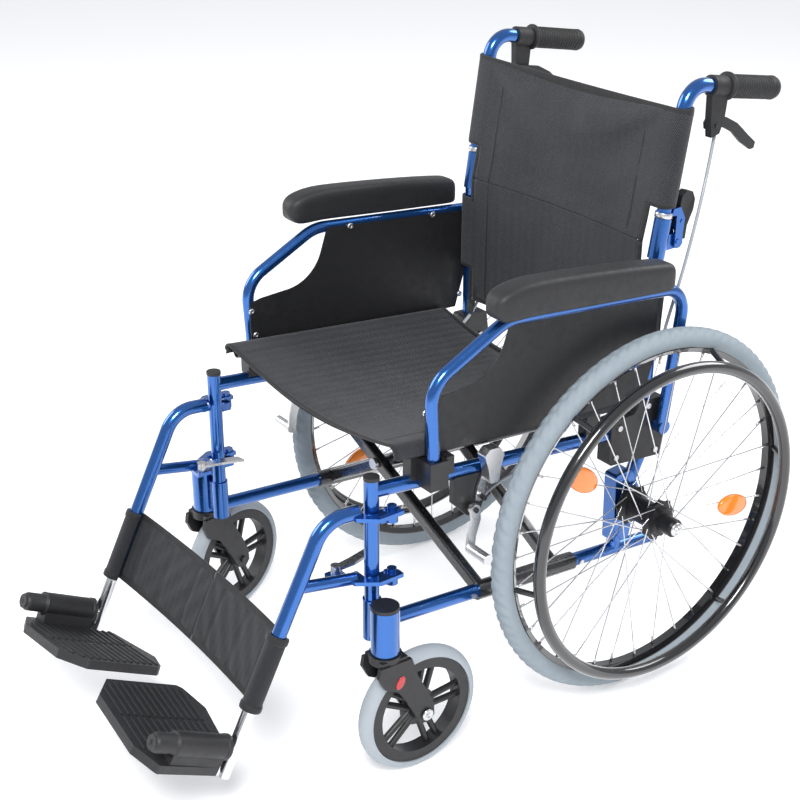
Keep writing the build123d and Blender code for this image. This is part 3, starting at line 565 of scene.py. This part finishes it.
def add_hub_details():
    """Lobed flanges, a silver release button and bright nipples at the rim."""
    for label, x in (("inner", 245.0), ("outer", 303.0)):
        rings = []
        for dx in (-1.6, 1.6):
            ring = []
            for k in range(108):
                turn = 2 * pi * k / 108
                radius = 30.5 + 3.2 * cos(9 * turn)
                ring.append(P(x + dx, radius * sin(turn), WHEEL_R + radius * cos(turn)))
            rings.append(ring)
        pair(loft("flange", rings, mat_hub, smooth=False), f"hub_flange_{label}", "rear_wheel", "hub_black")
    cap = lathe("axle", P(342, 0, WHEEL_R), (1, 0, 0),
                [(0, 11.2), (2.2, 11.0), (3.4, 9.5), (3.6, 6.2), (7.5, 6.0), (8.6, 4.6)], mat_zinc, 40)
    pair(cap, "axle_button", "rear_wheel", "bolt_steel")
    nipples, faces = [], []
    per_side = 18
    across = Vector((1, 0, 0))
    for x_offset, phase in ((3.0, 0.0), (-3.0, 0.5)):
        for i in range(per_side):
            turn = 2 * pi * (i + phase) / per_side
            radial = Vector((0, sin(turn), cos(turn)))
            side_way = Vector((0, cos(turn), -sin(turn)))
            base = len(nipples)
            for reach, radius in ((250.0, 1.5), (263.2, 2.4)):
                centre = P(WHEEL_X + x_offset, 0, WHEEL_R) + radial * reach / 1000
                nipples += [
                    centre + (across * cos(pi * k / 4) + side_way * sin(pi * k / 4)) * radius / 1000
                    for k in range(8)
                ]
            faces += [(base + k, base + (k + 1) % 8, base + 8 + (k + 1) % 8, base + 8 + k) for k in range(8)]
            faces.append(tuple(base + k for k in range(8)))
            faces.append(tuple(base + 8 + k for k in reversed(range(8))))
    pair(outward(add_mesh("nipples", nipples, faces, mat_zinc)), "spoke_nipples", "rear_wheel", "spoke_steel")


# ---------------------------------------------------------------- armrests
PAD_STATIONS = [
    # y, bottom, top, half width
    (-311, 697, 701, 5), (-309.5, 690, 708, 12), (-305, 683, 715, 18), (-296, 678, 721, 21.5),
    (-280, 677, 725.5, 22.5), (-255, 678.5, 728.5, 22.75), (-220, 676, 727, 22.75), (-150, 671, 721.5, 22.75),
    (-80, 666.5, 715, 22.75), (-20, 663, 708, 22.75), (4, 661.5, 704.5, 22.5), (12, 662, 702, 21),
    (15.5, 665, 697, 17), (17, 672, 690, 9),
]
PAD_X = 263.25


def make_armrest_pad():
    """A moulded foam pad with a crowned top and a drooping nose."""
    rings = []
    for y, low, high, half in PAD_STATIONS:
        ring = []
        middle, rise = (low + high) / 2, (high - low) / 2
        for k in range(32):
            turn = 2 * pi * k / 32
            c, s = cos(turn), sin(turn)
            wide = abs(c) ** 0.42 * (1 if c >= 0 else -1)
            tall = abs(s) ** (0.62 if s > 0 else 0.3) * (1 if s >= 0 else -1)
            ring.append(P(PAD_X + half * wide, y, middle + rise * tall))
        rings.append(ring)
    pad = refine(loft("pad", rings, mat_pad), 1)
    left, right = pair(pad, "armrest_foam", "armrest", "pad_foam", "armrest_pad")
    for i, y in enumerate((-206, -40)):
        screw = lathe("screw", P(236.5, y, 663 if i == 0 else 653), (-1, 0, 0),
                      [(0, 5.5), (2.2, 5.4), (3.4, 4.2), (3.8, 2.6), (2.6, 2.2)], mat_zinc, 24)
        pair(screw, f"pad_screw_{i}", "armrest", "bolt_steel")


def add_panel_details():
    """Screws on the inner face of each side panel."""
    inner = 235.8
    for i, (y, z) in enumerate(((-389, 515), (-395, 556), (20, 500), (28, 560))):
        screw = lathe("screw", P(inner + 0.4, y, z), (-1, 0, 0),
                      [(0, 5.2), (1.6, 5.0), (2.8, 3.8), (3.1, 2.2), (2.2, 1.9)], mat_zinc, 24)
        pair(screw, f"panel_screw_{i}", "armrest", "bolt_steel")


# ---------------------------------------------------------------- push handles
CANE_TOP = Vector((SIDE_X, 66.0, 940.0))
GRIP_END = Vector((217.0, 236.0, 913.5))


def add_grip_ribs():
    """Rubber grip with finger rings and a rounded end."""
    way = (GRIP_END - CANE_TOP).normalized()
    profile = [(77.5, 12.0), (78, 19.0), (80, 20.5), (83, 20.2), (84, 16.2)]
    start, pitch = 86.0, 5.4
    for i in range(16):
        s = start + i * pitch
        profile += [(s, 15.7), (s + 1.0, 17.2), (s + 3.2, 17.2), (s + 4.2, 15.7)]
    profile += [(174, 17.4), (179, 17.6), (183.5, 16.0), (185.5, 12.0), (186, 6)]
    grip = lathe("grip", P(*CANE_TOP), way, profile, mat_grip, 56)
    pair(grip, "grip_sleeve", "back", "grip_rubber")


# ---------------------------------------------------------------- footplates
TILT = radians(26.5)
ROLL = radians(7.7)
DOWN = Vector((0, -sin(TILT), -cos(TILT)))
FORWARD = Vector((0, -cos(TILT), sin(TILT)))
OUT = Vector((0, sin(TILT), cos(TILT)))
BARREL = Vector((218.0, -706.0, 118.0))
PLATE_DROP = 28.0


def plate_point(x, y, up=0.0):
    """A point on the tread of the left plate, in millimetres."""
    plate_x = Vector((cos(ROLL), 0, 0)) - OUT * sin(ROLL)
    normal = OUT * cos(ROLL) + Vector((sin(ROLL), 0, 0))
    rear = normal.cross(plate_x)
    return P(*(BARREL - OUT * PLATE_DROP + plate_x * x + rear * y + normal * up))


def add_plate_tread():
    """Raised ribs on each footplate, with a knob and a collar on its barrel."""
    points, faces = [], []

    def bar(x0, x1, y0, y1, height):
        base = len(points)
        inset = min(1.0, (y1 - y0) * 0.3)
        for up, shrink in ((-0.6, 0.0), (height * 0.6, 0.0), (height, inset)):
            points.extend(plate_point(x, y, up) for x, y in (
                (x0 + shrink, y0 + shrink), (x1 - shrink, y0 + shrink),
                (x1 - shrink, y1 - shrink), (x0 + shrink, y1 - shrink)))
        for level in (0, 4):
            faces.extend((base + level + k, base + level + (k + 1) % 4, base + level + 4 + (k + 1) % 4,
                          base + level + 4 + k) for k in range(4))
        faces.append(tuple(base + k for k in reversed(range(4))))
        faces.append(tuple(base + 8 + k for k in range(4)))

    for row in range(13):
        y = -128 + row * 11.5
        left = -183 + max(0.0, (-112 - y) * 1.1) + max(0.0, (y - 8) * 1.0)
        bar(left, -104, y, y + 4.2, 2.0)
        bar(-98, -26, y, y + 4.2, 2.0)
    tread = outward(add_mesh("tread", points, faces, mat_plate, smooth=False))
    pair(tread, "plate_ribs", "footplate_body", "plate_black")
    knob = lathe("knob", P(*(BARREL + FORWARD * 101)), FORWARD,
                 [(0, 18.1), (2, 18.6), (3, 16), (5, 14.5), (30, 14.5), (34, 13), (37, 9), (38, 4)],
                 mat_plate, 40)
    pair(knob, "plate_knob", "footplate_body", "plate_black")
    collar = lathe("collar", P(*(BARREL + FORWARD * 14)), FORWARD, [(0, 17), (1, 18.8), (6, 18.8), (8, 18.1)],
                   mat_plate, 40)
    pair(collar, "plate_collar", "footplate_body", "plate_black")


# ---------------------------------------------------------------- seat
SEAT_Y0, SEAT_Y1 = -443.0, -22.0
SEAT_SAG = 20.0
CLOTH_R = 12.4


def seat_tube(y):
    return 470.4 - 0.072 * y


def seat_profile(columns_wrap, columns_mid):
    """(x, z above the tube axis) across the seat, over both tubes."""
    line = []
    for k in range(columns_wrap):
        turn = radians(-25 + 115 * k / columns_wrap)
        line.append((SIDE_X + CLOTH_R * cos(turn), CLOTH_R * sin(turn)))
    for k in range(columns_mid + 1):
        x = SIDE_X - 2 * SIDE_X * k / columns_mid
        line.append((x, CLOTH_R - SEAT_SAG * (1 - (x / SIDE_X) ** 2)))
    for k in range(columns_wrap):
        turn = radians(90 - 115 * (k + 1) / columns_wrap)
        line.append((-SIDE_X - CLOTH_R * cos(turn), CLOTH_R * sin(turn)))
    return line


def make_seat():
    """A mesh cloth sling between the two seat tubes, hemmed front and rear."""
    profile = seat_profile(8, 60)
    rows = []
    steps = 56
    for i in range(steps + 1):
        y = SEAT_Y0 + (SEAT_Y1 - SEAT_Y0) * i / steps
        edge = min(i, steps - i) / 4
        droop = 5.0 * (1 - min(1.0, edge)) ** 2
        row = []
        for x, rise in profile:
            share = 1 - min(1.0, abs(x) / SIDE_X) ** 2
            puckers = 0.9 * sin(x * 0.11 + y * 0.035) * sin(y * 0.05) * share
            row.append(P(x, y, seat_tube(y) + rise - droop * share + puckers))
        rows.append(row)
    seat = sheet_grid("seat_sling", rows, mat_seat)

    def held(point):
        return 1.0 if abs(point.x) * 1000 > SIDE_X - 8 else 0.0

    seat = settle(seat, held, 1.0, 9.0)
    seat = thicken(refine(seat, 1), 2.2)
    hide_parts("seat_upholstery")
    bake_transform(seat)
    trims = []
    for label, y in (("front", SEAT_Y0 + 1), ("rear", SEAT_Y1 - 1)):
        line = []
        for x, rise in profile:
            hem_droop = 5.4 * (1 - min(1.0, abs(x) / SIDE_X) ** 2)
            line.append(P(x, y, seat_tube(y) + rise - hem_droop))
        trims.append(ribbon(f"seat_binding_{label}", line, 10, 4.6, mat_webbing,
                            lambda p, i: Vector((0, 0.2, 1))))
    for sign in (1, -1):
        hand = "left" if sign > 0 else "right"
        for offset in (26.0, 30.0):
            x = sign * (SIDE_X - offset)
            rise = CLOTH_R + 0.9 - SEAT_SAG * (1 - (x / SIDE_X) ** 2)
            line = [P(x, SEAT_Y0 + 10 + (SEAT_Y1 - SEAT_Y0 - 20) * k / 60, 0) for k in range(61)]
            line = [Vector((p.x, p.y, (seat_tube(p.y * 1000 - AXLE_Y) + rise) / 1000)) for p in line]
            trims.append(stitches(f"seat_seam_{hand}_{int(offset)}", line, mat_thread,
                                  lambda p, i: Vector((0, 0, 1))))
    for trim in trims:
        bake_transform(trim)


# ---------------------------------------------------------------- back
HINGE_Z = 714.0
BACK_TOP = 904.0
NOTCH = (676.0, 770.0)
SLEEVE_LOW = 560.0
BACK_LOW = 505.0
BACK_SAG = 13.0
INNER_X = 204.0
BACK_SLEEVE_R = 13.4


def cane_y(z):
    """Y of the back tube or cane axis at a height."""
    if z <= HINGE_Z:
        return 31.0
    if z < 752.5:
        return 31.0 + (z - HINGE_Z) * (38.6 - 31.0) / (752.5 - HINGE_Z)
    return 38.6 + (z - 752.5) * (66 - 38.6) / (940 - 752.5)


def back_profile(z):
    """Points across the back at a height, from the left sleeve to the right one."""
    wrap, middle, radius = 9, 52, BACK_SLEEVE_R
    axis = cane_y(z)
    line = []
    front = axis - radius
    for k in range(wrap):
        turn = radians(-70 + 160 * k / wrap)
        line.append((SIDE_X + radius * cos(turn), axis - radius * sin(turn), z))
    for k in range(middle + 1):
        x = SIDE_X - 2 * SIDE_X * k / middle
        share = max(0.0, 1 - (abs(x) / INNER_X) ** 2.0)
        line.append((x, front + BACK_SAG * share, z))
    for k in range(wrap):
        turn = radians(90 - 160 * (k + 1) / wrap)
        line.append((-SIDE_X - radius * cos(turn), axis - radius * sin(turn), z))
    return line


def make_back():
    """The back sling, split at the hinge line into an upper and a lower part."""
    made = []
    for label, z0, z1, steps in (("upper", HINGE_Z, BACK_TOP, 30), ("lower", BACK_LOW, HINGE_Z, 30)):
        heights = [z0 + (z1 - z0) * i / steps for i in range(steps + 1)]
        rows = []
        for z in heights:
            row = []
            for x, y, height in back_profile(z):
                share = max(0.0, 1 - (abs(x) / INNER_X) ** 2)
                ripple = 0.8 * sin(x * 0.09 + height * 0.03) * sin(height * 0.045) * share
                top_dip = 6.0 * share * max(0.0, (height - 860) / 44) ** 2
                row.append(P(x, y + ripple, height - top_dip))
            rows.append(row)
        flat = back_profile(0)

        def keep(i, j, heights=heights, flat=flat):
            middle_z = (heights[i] + heights[i + 1]) / 2
            outside = abs((flat[j][0] + flat[j + 1][0]) / 2) > INNER_X - 4
            in_notch = NOTCH[0] < middle_z < NOTCH[1] or middle_z < SLEEVE_LOW
            return not (outside and in_notch)

        sling = sheet_grid(f"back_sling_{label}", rows, mat_seat, keep)
        edge_z = HINGE_Z / 1000

        def held(point, edge=edge_z):
            at_side = abs(point.x) * 1000 > INNER_X - 10
            return 1.0 if at_side or abs(point.z - edge) < 0.008 else 0.0

        sling = settle(sling, held, 0.35, 7.0)
        sling = thicken(refine(sling, 1), 2.4)
        made.append(sling)
    upper, lower = made
    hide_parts("back_upholstery_upper")
    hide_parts("back_upholstery_lower")
    trims = {"upper": [], "lower": []}

    def facing(point, index):
        return Vector((0, -1, 0.1))

    def around(point, index):
        centre = Vector((SIDE_X / 1000 * (1 if point.x > 0 else -1), point.y, point.z))
        axis = P(0, cane_y(point.z * 1000), 0).y
        if abs(point.x) * 1000 > SIDE_X:
            return Vector((point.x - centre.x, point.y - axis, 0)).normalized()
        return Vector((0, -1, 0))

    def edge(z, inside=False):
        line = [p for p in back_profile(z) if not inside or abs(p[0]) <= INNER_X]
        dipped = []
        for x, y, height in line:
            share = max(0.0, 1 - (abs(x) / INNER_X) ** 2)
            dip = 6.0 * share * max(0.0, (height - 860) / 44) ** 2
            dipped.append(P(x, y, height - dip))
        return dipped

    trims["upper"].append(ribbon("back_binding_top", edge(BACK_TOP - 1), 13, 4.8, mat_webbing, around))
    trims["lower"].append(ribbon("back_binding_low", edge(BACK_LOW + 1, True), 10, 4.8, mat_webbing, facing))
    for sign in (1, -1):
        hand = "left" if sign > 0 else "right"
        upright = [P(sign * (INNER_X - 4), cane_y(z) - BACK_SLEEVE_R, z) for z in
                   [HINGE_Z + (NOTCH[1] - HINGE_Z) * k / 10 for k in range(11)]]
        trims["upper"].append(ribbon(f"back_notch_up_{hand}", upright, 9, 4.6, mat_webbing, facing))
        low_line = [P(sign * (INNER_X - 4), cane_y(z) - BACK_SLEEVE_R, z) for z in
                    [NOTCH[0] + (HINGE_Z - NOTCH[0]) * k / 6 for k in range(7)]]
        trims["lower"].append(ribbon(f"back_notch_low_{hand}", low_line, 9, 4.6, mat_webbing, facing))
        base_line = [P(sign * (INNER_X - 4), cane_y(z) - BACK_SLEEVE_R, z) for z in
                     [BACK_LOW + (SLEEVE_LOW - BACK_LOW) * k / 6 for k in range(7)]]
        trims["lower"].append(ribbon(f"back_edge_low_{hand}", base_line, 9, 4.6, mat_webbing, facing))
        corner = [(sign * 190, cane_y(540) - 12.6, 528), (sign * 197, cane_y(500) - 13, 500),
                  (sign * 203, cane_y(480) - 13, 476)]
        drop = [P(*point) for point in corner]
        trims["lower"].append(ribbon(f"back_strap_{hand}", drop, 19, 2.4, mat_webbing, facing))
        for label, z, body in (("notch_top", NOTCH[1] + 1, "upper"), ("notch_base", NOTCH[0] - 1, "lower"),
                               ("sleeve_base", SLEEVE_LOW + 1, "lower")):
            part = [P(x, y, height) for x, y, height in back_profile(z) if x * sign > INNER_X - 8]
            trims[body].append(ribbon(f"back_{label}_{hand}", part, 8, 4.2, mat_webbing, around))
        for offset, (z0, z1, body) in ((165, (HINGE_Z + 2, BACK_TOP - 8, "upper")),
                                       (165, (BACK_LOW + 8, HINGE_Z - 2, "lower"))):
            share = 1 - (offset / INNER_X) ** 2
            seam = [P(sign * offset, cane_y(z) - 14.6 + BACK_SAG * share, z) for z in
                    [z0 + (z1 - z0) * k / 24 for k in range(25)]]
            trims[body].append(ribbon(f"back_seam_{hand}_{body}", seam, 5.5, 2.6, mat_webbing, facing))
            for side_step in (-4.6, 4.6):
                share = 1 - ((offset + side_step) / INNER_X) ** 2
                row = [P(sign * (offset + side_step), cane_y(z) - 14.3 + BACK_SAG * share, z) for z in
                       [z0 + (z1 - z0) * k / 24 for k in range(25)]]
                trims[body].append(stitches(f"back_stitch_{hand}_{body}_{'a' if side_step < 0 else 'b'}", row,
                                            mat_thread, facing))
    for body, sling in (("upper", upper), ("lower", lower)):
        for piece in [sling] + trims[body]:
            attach(piece, "left_back" if body == "upper" else "left_frame")
            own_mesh(piece)


# ---------------------------------------------------------------- calf strap
STRAP_LOW, STRAP_HIGH = 62.0, 172.0
STRAP_BELLY = 27.0
STRAP_NEAR = 13.4          # how far behind the tube axis it lies at the tube
SEAM_X = (40.0, 112.0, 184.0)


def strap_point(x, height, bulge=0.0):
    """A point on the left half of the strap; height is up the shank from the plate hinge."""
    behind = STRAP_NEAR + (STRAP_BELLY - STRAP_NEAR) * (1 - (x / BARREL.x) ** 2)
    centre = BARREL - DOWN * height
    return P(x, *(centre + (-FORWARD) * (behind + bulge)).yz)


def make_calf_strap():
    """Half of the calf strap, wrapped round the footrest tube."""
    rows = []
    steps, columns = 22, 44
    radius = 13.6
    for i in range(steps + 1):
        height = STRAP_LOW + (STRAP_HIGH - STRAP_LOW) * i / steps
        crown = 2.4 * sin(pi * i / steps)
        centre = BARREL - DOWN * height
        row = []
        for k in range(columns + 1):
            x = BARREL.x * k / columns
            channel = 0.0
            for seam in SEAM_X:
                channel -= 1.8 * max(0.0, 1 - abs(x - seam) / 5.0)
            ripple = 0.7 * sin(x * 0.16 + height * 0.12) * (1 - (x / BARREL.x) ** 4)
            row.append(strap_point(x, height, -(crown + channel) + ripple))
        for k in range(1, 13):
            turn = radians(90 - 270 * k / 12)
            row.append(P(BARREL.x + radius * cos(turn),
                         *(centre + (-FORWARD) * radius * sin(turn)).yz))
        rows.append(row)
    strap = thicken(refine(sheet_grid("strap", rows, mat_strap), 1), 3.0, 0.0)
    halves = pair(strap, "calf_band", "hanger_body", "strap_fabric", "calf_strap", fold=True)
    for label, height in (("low", STRAP_LOW + 3), ("high", STRAP_HIGH - 3)):
        line = [strap_point(BARREL.x * k / 40, height, -0.2) for k in range(41)]
        centre = BARREL - DOWN * height
        for k in range(1, 13):
            turn = radians(90 - 270 * k / 12)
            line.append(P(BARREL.x + (radius + 0.3) * cos(turn),
                          *(centre + (-FORWARD) * (radius + 0.3) * sin(turn)).yz))

        def facing(point, index, centre=centre):
            if index <= 40:
                return FORWARD
            return (point - P(*centre)).normalized()

        band = ribbon("edge", line, 11, 5.4, mat_webbing, facing)
        pair(band, f"calf_binding_{label}", "hanger_body", "strap_fabric", fold=True)
    for i, x in enumerate(SEAM_X):
        seam_rise = (STRAP_HIGH - STRAP_LOW - 8) / 20
        line = [strap_point(x, STRAP_LOW + 4 + seam_rise * k, -1.0) for k in range(21)]
        row = stitches("seam", line, mat_thread, lambda p, i: FORWARD, radius=0.5)
        pair(row, f"calf_seam_{i}", "hanger_body", "strap_fabric", fold=True)


# ---------------------------------------------------------------- cables and small trim
CABLE_ROUTE = [
    (219, 132, 858), (226, 118, 812), (238, 96, 765), (240, 82, 712), (236, 72, 655), (229, 62, 600),
    (222, 55, 545), (209, 48, 497), (202, 12, 462), (202, -38, 436), (203, -95, 420), (203, -152, 407),
    (204, -208, 398), (210, -258, 391), (222, -281, 388),
]


def make_cables():
    """Brake cables from the levers to the wheel locks, one smooth line each."""
    curve = bpy.data.curves.new("cable", "CURVE")
    curve.dimensions = "3D"
    curve.bevel_depth = 0.0026
    curve.bevel_resolution = 4
    curve.resolution_u = 10
    curve.use_fill_caps = True
    line = curve.splines.new("NURBS")
    line.points.add(len(CABLE_ROUTE) - 1)
    for point, place in zip(line.points, CABLE_ROUTE):
        point.co = (*P(*place), 1)
    line.order_u = 3
    line.use_endpoint_u = True
    holder = bpy.data.objects.new("cable", curve)
    bpy.context.scene.collection.objects.link(holder)
    graph = bpy.context.evaluated_depsgraph_get()
    mesh = bpy.data.meshes.new_from_object(holder.evaluated_get(graph))
    bpy.data.objects.remove(holder)
    mesh.materials.clear()
    mesh.materials.append(mat_cable)
    left = bpy.data.objects.new("left_cable_line", mesh)
    bpy.context.scene.collection.objects.link(left)
    right = mirrored(left, "right_cable_line")
    for made, hand in ((left, "left"), (right, "right")):
        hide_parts(f"{hand}_brake_cable")
        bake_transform(made)


def add_small_trim():
    """Collars, caps, inlays and bands."""
    cane_way = (CANE_TOP - Vector((SIDE_X, 38.6, 752.5))).normalized()
    ring = lathe("ring", P(SIDE_X, 38.4, 751.6), cane_way,
                 [(0, 13.1), (0.5, 13.6), (7.0, 13.6), (8.2, 13.0), (8.4, 11)], mat_zinc, 48)
    pair(ring, "cane_collar", "back", "bolt_steel")
    inlay = oval_plate("inlay", P(CASTER_X + 24.6, STEM_Y + 10, 174), Vector((0, 0.45, 0.9)),
                       Vector((0, 0.9, -0.45)), Vector((1, 0, 0)), 11, 6.5, 2.6, mat_red)
    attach(inlay, "left_caster_fork_body")
    inlay.name = "left_fork_inlay"
    twin = mirrored(inlay, "right_fork_inlay")
    stem = P(-CASTER_X, STEM_Y, 0)
    turn = Matrix.Translation(stem) @ Matrix.Rotation(FAR_CASTER_TURN, 4, "Z") @ Matrix.Translation(-stem)
    twin.data.transform(turn)
    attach(twin, "right_caster_fork_body")
    for hand, sign, angle in (("left", 1, 0), ("right", -1, FAR_CASTER_TURN)):
        centre = P(sign * CASTER_X, STEM_Y, CASTER_AXLE_Z)
        cap = lathe(f"{hand}_caster_bolt", P(sign * (CASTER_X + 26), CASTER_AXLE_Y, CASTER_AXLE_Z),
                    (sign, 0, 0),
                    [(0, 9.5), (2.4, 9.3), (3.2, 8), (3.6, 4.2), (2.8, 3.8)], mat_zinc, 32)
        cap.data.transform(Matrix.Translation(centre) @ Matrix.Rotation(angle, 4, "Z")
                           @ Matrix.Translation(-centre))
        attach(cap, f"{hand}_caster_fork_body")
    band_y = -172
    band = lathe("sleeve_band", P(-SIDE_X, band_y, RAIL_Z - RAIL_SLOPE * band_y), (0, -1, RAIL_SLOPE),
                 [(-22, 14.6), (-21.5, 15.3), (21.5, 15.3), (22, 14.6)], mat_white, 48)
    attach(band, "crossbar_b")


# ---------------------------------------------------------------- studio
CAMERA = (1750.30, -1509.05, 1418.91)
AZIMUTH, ELEVATION = radians(55.357), radians(26.817)
SENSOR, LENS = 36.0, 68.2902           # millimetres
LENS_SHIFT = (0.01854375, 0.0883475)   # shares of the frame
FLOOR_HALF = 60                        # metres
FLOOR_GLOW = 0.3


def area_light(name, place, target, size, power):
    light = bpy.data.lights.new(name, "AREA")
    light.shape = "DISK"
    light.size = size
    light.energy = power
    made = bpy.data.objects.new(name, light)
    made.location = place
    made.rotation_euler = (Vector(target) - Vector(place)).to_track_quat("-Z", "Y").to_euler()
    bpy.context.scene.collection.objects.link(made)


def make_studio():
    """Pale floor, soft light and the camera."""
    corners = [(x * FLOOR_HALF, y * FLOOR_HALF, 0) for x, y in ((-1, -1), (1, -1), (1, 1), (-1, 1))]
    floor = add_mesh("studio_floor", corners, [(0, 1, 2, 3)],
                     surface("pale_floor", (0.86, 0.86, 0.87), 0.6, vary=0.01, smudge=0.02))
    glow = floor.data.materials[0].node_tree.nodes["Principled BSDF"]
    glow.inputs["Emission Color"].default_value = (1, 1, 1, 1)
    glow.inputs["Emission Strength"].default_value = FLOOR_GLOW
    world = bpy.data.worlds.new("studio")
    bpy.context.scene.world = world
    world.use_nodes = True
    world.node_tree.nodes["Background"].inputs[0].default_value = (0.95, 0.97, 1, 1)
    world.node_tree.nodes["Background"].inputs[1].default_value = 0.6
    area_light("key", (2.4, -2.0, 3.6), (0, 0, 0.45), 1.6, 190)
    area_light("fill", (-3.2, -2.2, 2.4), (0, 0, 0.5), 2.6, 70)
    area_light("rim", (0.5, 3.4, 3.0), (0, 0, 0.5), 2.4, 90)
    back = Vector((sin(AZIMUTH) * cos(ELEVATION), -cos(AZIMUTH) * cos(ELEVATION), sin(ELEVATION)))
    lens = bpy.data.cameras.new("camera")
    lens.sensor_width = SENSOR
    lens.lens = LENS
    lens.shift_x, lens.shift_y = LENS_SHIFT
    camera = bpy.data.objects.new("camera", lens)
    camera.location = P(*CAMERA)
    camera.rotation_euler = (-back).to_track_quat("-Z", "Y").to_euler()
    bpy.context.scene.collection.objects.link(camera)
    bpy.context.scene.camera = camera
    bpy.context.scene.view_settings.view_transform = "Standard"


dress_frame()
make_studio()
make_tyre()
add_reflectors()
add_hub_details()
make_armrest_pad()
add_panel_details()
add_grip_ribs()
add_plate_tread()
make_seat()
make_back()
make_calf_strap()
make_cables()
add_small_trim()
